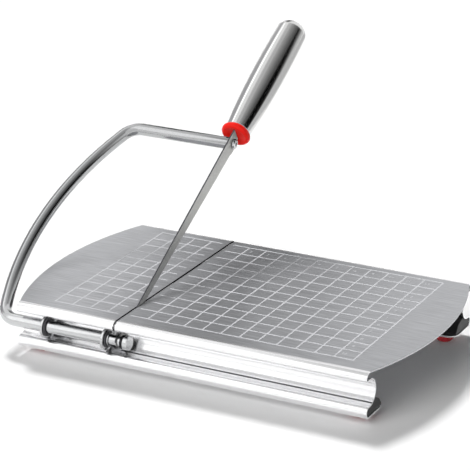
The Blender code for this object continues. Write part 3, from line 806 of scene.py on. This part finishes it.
first_cell = RIGHT_FIRST + PITCH / 2 - NUMBER_BACK
last_cell = first_cell + (RIGHT_COLUMNS - 1) * PITCH
last_row = FRONT_ROW + (ROWS - 1.5) * PITCH     # the middle of the squares along the back
back_numbers = numbers("numbers_back", RIGHT_COLUMNS, (first_cell, last_row, 0), (PITCH, 0, 0))
side_numbers = numbers("numbers_side", ROWS - 2, (last_cell, last_row - PITCH, 0), (0, -PITCH, 0))
fitted(joined("printed_numbers", [back_numbers, side_numbers]), "base", "brushed_sheet", WHITE_INK)

# %% [markdown]
# ## The arm
# The arm is one round rod, 8.2 mm thick: out of the hinge, round a tight bend, along a long bow
# and round another tight bend to the blade's screw. Its shape follows a path,
# so Geometry Nodes sweep a circle along the centre line.

# %% Centre line of the rod
ARM_LEFT = -0.1493
ARM_BOW_RADIUS = 0.2150
ARM_BOW_CENTRE = 0.0800
ARM_BEND = 0.0125
EAR_RIGHT_X = -0.0592
BEND_STEPS = 24
BOW_STEPS = 64
ROD_CHAMFER = 0.0004
CHAMFER_KNEE = (0.3, 0.7)   # how far back and out the rounded chamfer's middle lies, as shares of it
BLADE_LEFT = SLOT_X - BLADE_THICKNESS / 2
BLADE_RIGHT = SLOT_X + BLADE_THICKNESS / 2


def rod_path():
    """Points of the centre line in the swing plane, from the hinge shoulder to the blade."""
    centre_x = ARM_LEFT + ARM_BOW_RADIUS
    inner = ARM_BOW_RADIUS - ARM_BEND
    near_drop = ARM_BOW_CENTRE - ARM_BEND
    far_rise = ARM_REACH - ARM_BEND - ARM_BOW_CENTRE
    near_x = centre_x - math.sqrt(inner ** 2 - near_drop ** 2)
    far_x = centre_x - math.sqrt(inner ** 2 - far_rise ** 2)
    near_deg = 180 + math.degrees(math.asin(near_drop / inner))
    far_deg = 180 - math.degrees(math.asin(far_rise / inner))
    points = arc((near_x, ARM_BEND), ARM_BEND, 270, near_deg, BEND_STEPS)
    points += arc((centre_x, ARM_BOW_CENTRE), ARM_BOW_RADIUS, near_deg, far_deg, BOW_STEPS)[1:]
    points += arc((far_x, ARM_REACH - ARM_BEND), ARM_BEND, far_deg, 90, BEND_STEPS)[1:]
    return points


def rod_stations():
    """(x, reach, radius), with an eased edge at both ends."""
    edge = [(back * ROD_CHAMFER, ROD_RADIUS - ROD_CHAMFER + lift * ROD_CHAMFER)
            for back, lift in ((0, 0), CHAMFER_KNEE, (1, 1))]
    near = [(EAR_RIGHT_X - FIT - back, 0, radius) for back, radius in edge]
    far = [(BLADE_LEFT - FIT - back, ARM_REACH, radius) for back, radius in edge[::-1]]
    return near + [(x, reach, ROD_RADIUS) for x, reach in rod_path()] + far


print("stations on the rod:", len(rod_stations()))

# %% [markdown]
# The points of that line carry the rod's radius. It shrinks at the first and last points,
# so the sweep chamfers both ends of the rod without a further step.

# %% A tree that sweeps a round section


def sweep_tree():
    tree, given = new_tree("round rod along a path", Path="Geometry", Sides="Int", Steel="Material")
    curve = add(tree, "GeometryNodeMeshToCurve", {"Mesh": given["Path"]})
    radius = add(tree, "GeometryNodeInputNamedAttribute", {"Name": "rod_radius"}, data_type="FLOAT")
    circle = add(tree, "GeometryNodeCurvePrimitiveCircle", {"Resolution": given["Sides"], "Radius": 1.0})
    swept = add(tree, "GeometryNodeCurveToMesh",
                {"Curve": curve.outputs["Curve"], "Profile Curve": circle.outputs["Curve"],
                 "Scale": radius.outputs["Attribute"], "Fill Caps": True})
    return ended(tree, swept.outputs["Mesh"], given["Steel"])


def swept_rod(name, stations):
    mesh = bpy.data.meshes.new(name)
    mesh.from_pydata([(x, reach, 0) for x, reach, radius in stations],
                     [(index, index + 1) for index in range(len(stations) - 1)], [])
    thickness = mesh.attributes.new("rod_radius", "FLOAT", "POINT")
    thickness.data.foreach_set("value", [radius for x, reach, radius in stations])
    rod = run(sweep_tree(), name, mesh, Sides=ROUND_SIDES, Steel=ROD_WITH_PAINTED_SHADE)
    rod.data.transform(SWING)
    shaded(rod.data)
    return rod


fitted(swept_rod("bent_arm", rod_stations()), "arm", "bright_steel", ROD_WITH_PAINTED_SHADE, "arm_rod")

# %% [markdown]
# ## The hinge's pieces
# The end of the rod is turned down to a spigot, and again to a thin stud.
# Two round ears are welded into the cove, each with a flanged nylon bush.
# Washers, a spacer and a closed cap hold the blade's lug on the stud. All are turned parts.

# %% Turned end of the rod
TURNED_EASE = 0.00015       # rounding of the turned parts' edges
SPIGOT_RADIUS = 0.0032
STUD_RADIUS = 0.00175
SPACER_LENGTH = 0.0017
LOCK_WASHER_THICKNESS = 0.0015
CAP_X = BLADE_RIGHT + SPACER_LENGTH + LOCK_WASHER_THICKNESS + 3 * FIT
CAP_LENGTH = 0.0036
CAP_WALL = 0.0009
CAP_RADIUS = 0.0048
CAP_CHAMFER = 0.0005


def lathed(name, line, axis=SWING, closed=False):
    """A turned piece with eased edges, lying along X on the hinge's axis."""
    return solid(name, turned(eased(line, TURNED_EASE, closed), closed=closed), axis @ ALONG_X)


def turned_end():
    shoulder = EAR_RIGHT_X - FIT - ROD_CHAMFER
    face = BLADE_LEFT - FIT
    end = CAP_X + CAP_LENGTH - CAP_WALL - FIT
    return [(shoulder, 0), (shoulder, SPIGOT_RADIUS), (face, SPIGOT_RADIUS), (face, STUD_RADIUS),
            (end, STUD_RADIUS), (end, 0)]


fitted(lathed("turned_spigot", turned_end()), "arm", "bright_steel", BUFFED_ROD)

# %% [markdown]
# The left bush carries the full rod and the right one its spigot, so their bores differ.
# The back of each ear follows the hollow of the cove, where the real one is welded.

# %% Ears and bushes
EAR_RADIUS = 0.0072
EAR_THICKNESS = 0.0016
EAR_LEFT_X = -0.1030
EAR_HUG_DEG = 80
EAR_STEPS = 48
BUSH_WALL = 0.0009
BUSH_FLANGE = 0.0006
BUSH_FLANGE_RIM = 0.0010
WASHER_RADIUS = 0.0043
WASHER_THICKNESS = 0.0008


def make_ear(side, left, shaft):
    """A round plate with its bush. The back of the plate follows the cove."""
    outline = arc((0, 0), COVE_RADIUS - FIT, -EAR_HUG_DEG, EAR_HUG_DEG, EAR_STEPS)
    outline += arc((0, 0), EAR_RADIUS, 180 - EAR_HUG_DEG, 180 + EAR_HUG_DEG, EAR_STEPS)
    right = left + EAR_THICKNESS
    bore = shaft + FIT
    barrel = bore + BUSH_WALL
    hole = plug(left - OVERRUN, right + OVERRUN, barrel + FIT)
    ear = bevelled(solid("ear_plate_" + side, pushed(outline, left, right), AXLE), SHEET_EASE)
    carved(ear, solid("ear_bore_" + side, turned(hole), AXLE @ ALONG_X))
    fitted(ear, "base", "bright_steel", BUFFED_ROD, "hinge_ear_" + side)
    flange = right + FIT
    rim = barrel + BUSH_FLANGE_RIM
    line = [(left, bore), (flange + BUSH_FLANGE, bore), (flange + BUSH_FLANGE, rim),
            (flange, rim), (flange, barrel), (left, barrel)]
    bush = lathed("flanged_bush_" + side, line, AXLE, closed=True)
    fitted(bush, "base", "grey_nylon", GREY_NYLON, "hinge_bush_" + side)


make_ear("left", EAR_LEFT_X, ROD_RADIUS)
make_ear("right", EAR_RIGHT_X, SPIGOT_RADIUS)

# %% [markdown]
# From left to right, the end of the rod carries the thrust washer, the blade, the spacer, the lock washer
# and the cap. The three rings differ only in their sizes and steel, so one loop makes them.

# %% Washers, spacer and cap
for washer_name, start, length, shaft, rim, washer_slot, finish, node in (
        ("polished_washer", EAR_RIGHT_X + EAR_THICKNESS + BUSH_FLANGE + 2 * FIT, WASHER_THICKNESS,
         SPIGOT_RADIUS, WASHER_RADIUS, "bright_steel", BUFFED_ROD, "thrust_washer"),
        ("polished_spacer", BLADE_RIGHT + FIT, SPACER_LENGTH,
         STUD_RADIUS, SPIGOT_RADIUS, "bright_steel", BUFFED_ROD, "pivot_spacer"),
        ("oxide_washer", CAP_X - LOCK_WASHER_THICKNESS - FIT, LOCK_WASHER_THICKNESS,
         STUD_RADIUS, WASHER_RADIUS, "dark_steel", BLACK_OXIDE, "lock_washer")):
    washer = lathed(washer_name, rectangle(start, shaft + FIT, start + length, rim), closed=True)
    fitted(washer, "arm", washer_slot, finish, node)


def cap_line():
    right = CAP_X + CAP_LENGTH
    bore = STUD_RADIUS + FIT
    return [(right - CAP_WALL, 0), (right - CAP_WALL, bore), (CAP_X, bore), (CAP_X, CAP_RADIUS - CAP_CHAMFER),
            (CAP_X + CAP_CHAMFER, CAP_RADIUS), (right - CAP_CHAMFER, CAP_RADIUS),
            (right, CAP_RADIUS - CAP_CHAMFER), (right, 0)]


fitted(lathed("turned_cap", cap_line()), "arm", "bright_steel", BUFFED_ROD, "pivot_cap")

# %% [markdown]
# ## The blade
# The blade is a thin strip that grows from its hinge lug to its tang. Its edge is ground on both sides.
# It is skinned from stations along its length, each a flat six-sided section.

# %% Blade
BLADE_NECK = 0.0100
BLADE_NECK_RISE = 0.0004
BLADE_HEEL = 0.0200
BLADE_GRIND = 0.0026
BLADE_GRIND_END = 0.0075
BLADE_EDGE_THICKNESS = 0.0002
BLADE_END_GAP = 0.0020
LUG_RADIUS = 0.0036
LUG_STEPS = 16
TANG_HALF_WIDTH = 0.0043
TANG_LENGTH = 0.0480
UPRIGHT_MOST = 0.1          # the X of a normal that doesn't look to the side


def blade_stations():
    """(reach, top, bevel, bottom, bottom thickness) from the lug to the end of the tang."""
    stations = []
    for reach, rise in arc((0, 0), LUG_RADIUS, 180, 90, LUG_STEPS)[1:]:
        stations.append((reach, rise, 0, -rise, BLADE_THICKNESS))
    bevel = BLADE_GRIND - BLADE_EDGE
    end = RING_START - BLADE_END_GAP
    ground = ARM_REACH - BLADE_GRIND_END
    climb = (HANDLE_OFFSET + TANG_HALF_WIDTH - BLADE_NECK_RISE) / (RING_START - BLADE_NECK)
    for reach, thickness in ((BLADE_NECK, BLADE_THICKNESS), (BLADE_HEEL, BLADE_EDGE_THICKNESS),
                             (ground, BLADE_EDGE_THICKNESS), (ground + BLADE_GRIND, BLADE_THICKNESS),
                             (end, BLADE_THICKNESS)):
        top = BLADE_NECK_RISE + (reach - BLADE_NECK) * climb
        stations.append((reach, top, bevel, -BLADE_EDGE, thickness))
    lean = math.tan(math.radians(HANDLE_TILT_DEG))
    for reach in (end + FIT, RING_START + TANG_LENGTH):
        middle = HANDLE_OFFSET + (reach - RING_START) * lean
        stations.append((reach, middle + TANG_HALF_WIDTH, middle, middle - TANG_HALF_WIDTH, BLADE_THICKNESS))
    return stations


def blade_rows():
    wide = BLADE_THICKNESS / 2
    rows = []
    for reach, top, bevel, bottom, thickness in blade_stations():
        thin = thickness / 2
        section = ((wide, top), (wide, bevel), (thin, bottom), (-thin, bottom), (-wide, bevel), (-wide, top))
        rows.append([(SLOT_X + x, reach, z) for x, z in section])
    return rows


def on_spine(face):
    return abs(face.normal.x) < UPRIGHT_MOST and face.normal.z > 0


blade = solid("ground_blade", skinned(blade_rows()), SWING)
fitted(blade, "arm", "blade_steel", GROUND_BLADE, "blade")
# The spine faces get a darker steel, for the dark line along the blade's top edge.
refinished(blade, DARK_SPINE_STEEL, on_spine)

# %% [markdown]
# A button head screw holds the blade to the far end of the rod. Its head is turned,
# and its socket is a plug with six sides that is cut out of it.

# %% Screw that holds the blade
SCREW_HEAD_RADIUS = 0.0036
SCREW_HEAD_HEIGHT = 0.0015
SCREW_FLAT_RADIUS = 0.0018
SCREW_SOCKET_RADIUS = 0.0014
SCREW_SOCKET_DEPTH = 0.0009
CROWN_START_DEG = 80
CROWN_STEPS = 10
HEXAGON_SIDES = 6


def screw_solid():
    """A button head with a hexagon socket."""
    face = BLADE_RIGHT + FIT
    top = face + SCREW_HEAD_HEIGHT
    line = [(face, 0), (face, SCREW_HEAD_RADIUS - TURNED_EASE)]
    for along, rise in arc((face, 0), SCREW_HEAD_HEIGHT, CROWN_START_DEG, 0, CROWN_STEPS):
        crown = (SCREW_HEAD_RADIUS - SCREW_FLAT_RADIUS) * rise / SCREW_HEAD_HEIGHT
        line.append((along, SCREW_FLAT_RADIUS + crown))
    line.append((top, 0))
    place = SWING @ Matrix.Translation((0, ARM_REACH, 0)) @ ALONG_X
    socket = plug(top - SCREW_SOCKET_DEPTH, top + OVERRUN, SCREW_SOCKET_RADIUS)
    screw = solid("button_head_screw", turned(line), place)
    return carved(screw, solid("hexagon", turned(socket, HEXAGON_SIDES), place))


fitted(screw_solid(), "arm", "bright_steel", BUFFED_ROD, "blade_screw")

# %% [markdown]
# ## The grip
# The grip is a hollow steel tube with a belly and a domed end, spun to shape.
# A soft red ring closes its mouth round the blade's tang.

# %% Side and end of the grip
HANDLE_LENGTH = 0.1010
HANDLE_MOUTH_RADIUS = 0.0087
HANDLE_SWELL_RADIUS = 0.0116
HANDLE_FULL_RADIUS = 0.0119
HANDLE_TIP_RADIUS = 0.0108
HANDLE_TIP_LENGTH = 0.0085
HANDLE_WALL = 0.0010
RING_THICKNESS = 0.0044
GRIP_STEPS = 48
DOME_STEPS = 20
FACET_GAP = 0.0001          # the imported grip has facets, so this one is a hair slimmer to stay in its box


def grip_side(inset):
    """(along, radius) down the side, from the mouth, on one cubic curve."""
    start = RING_THICKNESS + FIT
    length = HANDLE_LENGTH - HANDLE_TIP_LENGTH
    radii = (HANDLE_MOUTH_RADIUS, HANDLE_SWELL_RADIUS, HANDLE_FULL_RADIUS, HANDLE_TIP_RADIUS)
    points = []
    for index in range(GRIP_STEPS + 1):
        t = index / GRIP_STEPS
        weights = ((1 - t) ** 3, 3 * t * (1 - t) ** 2, 3 * t ** 2 * (1 - t), t ** 3)
        radius = sum(weight * value for weight, value in zip(weights, radii))
        points.append((start + length * t, radius - inset))
    return points


def grip_dome(inset):
    """(along, radius) round the end, to the middle."""
    root = RING_THICKNESS + FIT + HANDLE_LENGTH - HANDLE_TIP_LENGTH
    points = []
    for along, across in arc((0, 0), 1, 0, 90, DOME_STEPS)[1:]:
        points.append((root + (HANDLE_TIP_LENGTH - inset) * across, (HANDLE_TIP_RADIUS - inset) * along))
    points[-1] = (points[-1][0], 0)
    return points


outer = grip_side(FACET_GAP) + grip_dome(FACET_GAP)
inner = grip_side(HANDLE_WALL) + grip_dome(HANDLE_WALL)
shell = solid("spun_grip", turned(eased(outer[::-1] + inner, TURNED_EASE), FINE_SIDES), GRIP)
fitted(shell, "arm", "satin_steel", SATIN_GRIP, "handle_shell")

# %% [markdown]
# The ring is moulded silicone: a round bead with a dished face, and a slot for the tang.
# Light passes a little way into it, which softens its shading.

# %% Soft ring at the mouth
RING_RADIUS = 0.0101
RING_DISH = 0.0012
RING_DISH_RADIUS = 0.0050
RING_ROLL_DEG = 200
RING_STEPS = 28


def ring_solid():
    bead = RING_THICKNESS / 2
    rolled = arc((bead, RING_RADIUS - bead), bead, RING_ROLL_DEG, 0, RING_STEPS)
    line = [(RING_DISH, 0), (RING_DISH, RING_DISH_RADIUS)] + rolled + [(RING_THICKNESS, 0)]
    ring = solid("soft_ring", turned(line, FINE_SIDES), GRIP)
    high = TANG_HALF_WIDTH + FIT
    outline = rectangle(-high, -OVERRUN, high, RING_THICKNESS + OVERRUN)
    return carved(ring, solid("tang_slot", pushed(outline, -SLOT_HALF, SLOT_HALF), GRIP))


soft_ring = fitted(ring_solid(), "arm", "red_silicone", RED_SILICONE, "collar_ring")
soft_ring.visible_glossy = False    # the photograph's brushed deck has no smear of red
nodes["handle_core"].data.materials.clear()
nodes["handle_core"].data.materials.append(BLACK_ABS)

# %% [markdown]
# ## Strips and feet
# A black strip is pushed into each rail and carries two soft feet.

# %% Strips
STRIP_END_GAP = 0.0006
STRIP_HUG_DEG = 48
STRIP_CREST_SETBACK = 0.0200
STRIP_CREST_DROP = 0.0224
STRIP_REACH = 0.0240
STRIP_FACE_HEIGHT = 0.0014
STRIP_STEPS = 16
FLOOR_OF_STRIP = BASE_Z + SHEET + FIT


def strip_outline():
    outline = arc((AXIS_Y, AXIS_Z), COVE_RADIUS + SHEET + FIT, -90, STRIP_HUG_DEG - 90, STRIP_STEPS)
    start = Vector(outline[-1])
    crest = Vector((STRIP_CREST_SETBACK - HALF_WIDTH, -STRIP_CREST_DROP))
    end = Vector((STRIP_REACH - HALF_WIDTH, FLOOR_OF_STRIP + STRIP_FACE_HEIGHT))
    for index in range(1, STRIP_STEPS):
        t = index / (STRIP_STEPS - 1)
        outline.append(tuple(start * (1 - t) ** 3 + crest * (3 * t * (1 - t)) + end * t ** 3))
    outline.append((end.x, FLOOR_OF_STRIP))
    outline += arc((BEAD_Y, BEAD_Z), BEAD_RADIUS - SHEET - FIT, 270, 90, STRIP_STEPS)
    return outline


def make_strip(side, mirror):
    half = HALF_RAIL - STRIP_END_GAP
    outline = [(mirror * y, z) for y, z in strip_outline()]
    strip = bevelled(solid("moulded_strip_" + side, pushed(outline, -half, half)), SHEET_EASE)
    fitted(strip, "base", "black_plastic", BLACK_ABS, "base_strip_" + side)


make_strip("front", 1)
make_strip("back", -1)

# %% [markdown]
# Each foot is moulded in one: a flared disc with rounded edges, and a plug through the flange.
# All four are the same, so a loop turns them.

# %% Feet
FOOT_RADIUS = 0.0068
FOOT_EDGE = 0.0012
FOOT_SOLE_RADIUS = 0.0050
FOOT_SOLE_EDGE = 0.0006
FOOT_FLARE_DEG = 30
FOOT_HEIGHT = 0.0048
FOOT_PLUG_LENGTH = 0.0023
FOOT_STEPS = 10


def foot_line():
    top = BASE_Z - FIT
    sole = top - FOOT_HEIGHT
    low = (FOOT_SOLE_RADIUS - FOOT_SOLE_EDGE, sole + FOOT_SOLE_EDGE)
    high = (FOOT_RADIUS - FOOT_EDGE, top - FOOT_EDGE)
    side = arc(low, FOOT_SOLE_EDGE, -90, -FOOT_FLARE_DEG, FOOT_STEPS)
    side += arc(high, FOOT_EDGE, -FOOT_FLARE_DEG, 90, FOOT_STEPS)
    end = BASE_Z + SHEET + FOOT_PLUG_LENGTH
    return [(sole, 0)] + [(along, radius) for radius, along in side] + [
        (top, FOOT_PLUG_RADIUS), (end, FOOT_PLUG_RADIUS), (end, 0)]


for foot_name, (foot_x, foot_y) in foot_places().items():
    foot = solid("soft_foot_" + foot_name, turned(foot_line()), Matrix.Translation((foot_x, foot_y, 0)))
    fitted(foot, "base", "red_rubber", RED_PVC, "foot_" + foot_name)

# %% [markdown]
# ## The floor of the studio
# The object stands on a white sweep, as in a product photograph. The lamps bring it almost to white,
# and a little light of its own, which only the camera and mirrored rays see, does the rest.
# The object's shadow still shows, because it is darker by far more than that.

# %% White sweep
FLOOR_Z = BASE_Z - FIT - FOOT_HEIGHT
FLOOR_HALF = 6.0
FLOOR_LIFT = 0.03           # the little extra that turns the lit sweep pure white in the picture
MIRRORED_LIFT = 0.12        # polished steel mirrors a slightly whiter sweep, as if lit from all round


def white_sweep():
    material = bpy.data.materials.new("matt_white_sweep")
    tree = emptied(material)
    rays = add(tree, "ShaderNodeLightPath").outputs
    mirrored = maths(tree, "MAXIMUM", rays["Is Glossy Ray"], rays["Is Transmission Ray"])
    seen = maths(tree, "MULTIPLY", rays["Is Camera Ray"], FLOOR_LIFT)
    lift = maths(tree, "MULTIPLY_ADD", mirrored, MIRRORED_LIFT, seen)
    paint = add(tree, "ShaderNodeBsdfDiffuse", {"Color": linear("#F8F8F8")})
    glow = add(tree, "ShaderNodeEmission", {"Strength": lift})
    both = add(tree, "ShaderNodeAddShader", {0: paint.outputs[0], 1: glow.outputs[0]})
    add(tree, "ShaderNodeOutputMaterial", {"Surface": both.outputs[0]})
    return material


def staged(name, corners, faces, material):
    mesh = bpy.data.meshes.new(name)
    mesh.from_pydata(corners, [], faces)
    mesh.materials.append(material)
    obj = new_object(name, mesh)
    return obj


sweep_corners = [(x, y, FLOOR_Z) for x, y in rectangle(-FLOOR_HALF, -FLOOR_HALF, FLOOR_HALF, FLOOR_HALF)]
staged("sweep", sweep_corners, [(0, 1, 2, 3)], white_sweep())
print("sweep at Z, mm:", round(FLOOR_Z / MM, 2))

# %% [markdown]
# ## Light
# The world is plain white to the camera and in reflections, and gives hardly any light of its own.
# A key from the upper back left throws the shadow to the front and the right.
# A wide fill from the front lifts that shadow to a light grey, and leaves it dark under the board.
# Neither lamp shows in reflections: what steel mirrors is made with cards, further down.

# %% Sky
SKY_LIGHT = 0.04            # share of the white world that lights the object


def white_world():
    world = bpy.data.worlds.new("white studio")
    bpy.context.scene.world = world
    tree = emptied(world)
    rays = add(tree, "ShaderNodeLightPath").outputs
    seen = maths(tree, "MAXIMUM", rays["Is Camera Ray"], rays["Is Glossy Ray"])
    through = maths(tree, "MAXIMUM", seen, rays["Is Transmission Ray"])
    level = ranged(tree, through, 0, 1, SKY_LIGHT, 1)
    sky = add(tree, "ShaderNodeBackground", {"Color": (1, 1, 1, 1), "Strength": level})
    add(tree, "ShaderNodeOutputWorld", {"Surface": sky.outputs[0]})


white_world()
print("world lights with", SKY_LIGHT)

# %% Key and fill
KEY_FROM = Vector((-0.45, 0.50, 0.80))
KEY_STRENGTH = 2.9
KEY_SPREAD_DEG = 14
FILL_FROM = Vector((-0.15, -0.80, 0.57))
FILL_STRENGTH = 1.95
FILL_SPREAD_DEG = 50


def sun(name, place, strength, spread_deg):
    data = bpy.data.lights.new(name, "SUN")
    data.energy = strength
    data.angle = math.radians(spread_deg)
    lamp = new_object(name, data)
    lamp.rotation_euler = place.to_track_quat("Z", "Y").to_euler()
    lamp.visible_glossy = False
    print(f"{name}: {round(math.degrees(math.asin(place.normalized().z)))} degrees high")


sun("soft key", KEY_FROM, KEY_STRENGTH, KEY_SPREAD_DEG)
sun("soft fill", FILL_FROM, FILL_STRENGTH, FILL_SPREAD_DEG)

# %% [markdown]
# ## What the steel mirrors
# Polished steel has almost no look of its own: it shows what stands round it. A photographer puts up
# cards and a softbox, and so does this scene. Only reflections see them, so they light and shade nothing.
# Each card fades out at its edges, which is what makes the soft run from light to dark along the grip.
# - The softbox at the upper left gives the grip its thin white line.
# - The right card gives the grip and the bow their dark line, and the overhead card the grey beside it.
# - The left, low right and floor cards keep the edges of the grip and the rods grey, not lost in the white.
# - The front box brightens the rails.

# %% Cards that only reflections see


def put_up(name, corners, faces, shade, strength, masks):
    """A card that shows as far as all its masks (measure, clear at, full at) let it."""
    material = bpy.data.materials.new(name)
    tree = emptied(material)
    place = add(tree, "ShaderNodeSeparateXYZ", {0: place_in(tree)}).outputs
    measures = {"x": place["X"], "y": place["Y"], "off middle": maths(tree, "ABSOLUTE", place["X"]),
                "climb": maths(tree, "ARCTAN2", place["Z"], place["Y"])}
    whole = 1
    for measure, clear_at, full_at in masks:
        whole = maths(tree, "MULTIPLY", whole, ranged(tree, measures[measure], clear_at, full_at))
    clear = add(tree, "ShaderNodeBsdfTransparent")
    glow = add(tree, "ShaderNodeEmission", {"Color": linear(shade), "Strength": strength})
    mixed = add(tree, "ShaderNodeMixShader", {0: whole, 1: clear.outputs[0], 2: glow.outputs[0]})
    add(tree, "ShaderNodeOutputMaterial", {"Surface": mixed.outputs[0]})
    panel = staged(name, corners, faces, material)
    panel.visible_camera = panel.visible_diffuse = panel.visible_shadow = panel.visible_transmission = False
    return panel


def card(name, towards, distance, size, shade, strength, soft, facing=None):
    """A flat card facing the object. Its shade fades out over soft metres at the sides, bottom and top."""
    half_x, half_y = size[0] / 2, size[1] / 2
    corners = [(x, y, 0) for x, y in rectangle(-half_x, -half_y, half_x, half_y)]
    panel = put_up(name, corners, [(0, 1, 2, 3)], shade, strength, (
        ("x", -half_x, soft[0] - half_x), ("x", half_x, half_x - soft[0]),
        ("y", -half_y, soft[1] - half_y), ("y", half_y, half_y - soft[2])))
    towards = Vector(towards).normalized()
    turn = Vector(facing or towards).to_track_quat("Z", "Y").to_matrix().to_4x4()
    panel.matrix_world = Matrix.Translation(towards * distance) @ turn
    print(f"{name}: {size[0]} by {size[1]} m, {distance} m away")


card("overhead_card", (0.26, 0.04, 0.965), 2.4, (2.2, 3.0), "#C8C8C8", 1, (0.3, 0.4, 0.4))
card("right_card", (0.67, 0.23, 0.707), 1.9, (2.2, 3.8), "#000000", 1, (0.5, 0.65, 2.15))
card("low_right_card", (0.93, 0.37, 0.20), 2.5, (3.4, 1.6), "#D0D0D0", 1, (0.4, 0.2, 0.3))
card("left_card", (-0.89, 0.22, 0.34), 2.3, (2.6, 2.0), "#B2B2B4", 1, (0.5, 0.1, 0.4))
card("front_box", (-0.43, -0.62, 0.62), 2.4, (2.4, 3.0), "#FFFFFF", 1.6, (0.5, 0.4, 0.5))
card("floor_card", (1.0, 1.3, -0.03), 1.64, (2.1, 2.0), "#CFCFCF", 1, (0.1, 0.1, 0.1), (0, 0, 1))
card("softbox", (-0.64, 0.20, 0.74), 1.9, (0.9, 0.42), "#FFFFFF", 1.9, (0.15, 0.1, 0.1))

# %% [markdown]
# The flat top of the board is darkest in the middle and gets lighter, in a straight run, towards both ends.
# A card behind the board that is bent along the board's length and darkest on its middle line does that,
# because every place on the top mirrors its own strip of the card.

# %% A bent card behind the board
ARCH_RADIUS = 2.0
ARCH_X = -0.90              # where the middle of the deck mirrors it
ARCH_HALF_WIDTH = 0.50
ARCH_DEG = (0, 64)          # from the horizon behind to well up the back
ARCH_SOFT_DEG = 14
ARCH_STEPS = 32


def bent_card(name, shade):
    """Darkest along its middle line, and clear at its edges and ends."""
    corners = [(x, y, z) for y, z in arc((0, 0), ARCH_RADIUS, *ARCH_DEG, ARCH_STEPS)
               for x in (-ARCH_HALF_WIDTH, ARCH_HALF_WIDTH)]
    faces = [(2 * index, 2 * index + 1, 2 * index + 3, 2 * index + 2) for index in range(ARCH_STEPS)]
    low, high = [math.radians(value) for value in ARCH_DEG]
    soft = math.radians(ARCH_SOFT_DEG)
    panel = put_up(name, corners, faces, shade, 1, (
        ("off middle", ARCH_HALF_WIDTH, 0), ("climb", low, low + soft), ("climb", high, high - soft)))
    panel.location.x = ARCH_X
    print(f"{name}: {2 * ARCH_HALF_WIDTH} m wide, {ARCH_RADIUS} m away")


bent_card("arch_card", "#0C0C0E")

# %% [markdown]
# ## Camera
# The camera's place was worked out from the printed squares in the photograph.
# The lens is long, so the object looks almost as in a drawing.

# %% Camera
CAMERA_PLACE = Vector((0.60986, -1.19825, 0.53848))
CAMERA_RIGHT = Vector((0.8886819, 0.4585243, 0))
CAMERA_UP = Vector((-0.1596421, 0.3094681, 0.9374134))
CAMERA_LENS = 173.96        # in mm, as is the sensor
CAMERA_SENSOR = 36

camera_data = bpy.data.cameras.new("camera")
camera_data.lens = CAMERA_LENS
camera_data.sensor_width = CAMERA_SENSOR
camera = new_object("camera", camera_data)
back = CAMERA_RIGHT.cross(CAMERA_UP)
axes = Matrix((CAMERA_RIGHT, CAMERA_UP, back)).transposed()
camera.matrix_world = Matrix.Translation(CAMERA_PLACE) @ axes.to_4x4()
bpy.context.scene.camera = camera
bpy.context.scene.view_settings.view_transform = "Standard"
print("camera is", round(camera.matrix_world.translation.length, 2), "m from the origin")
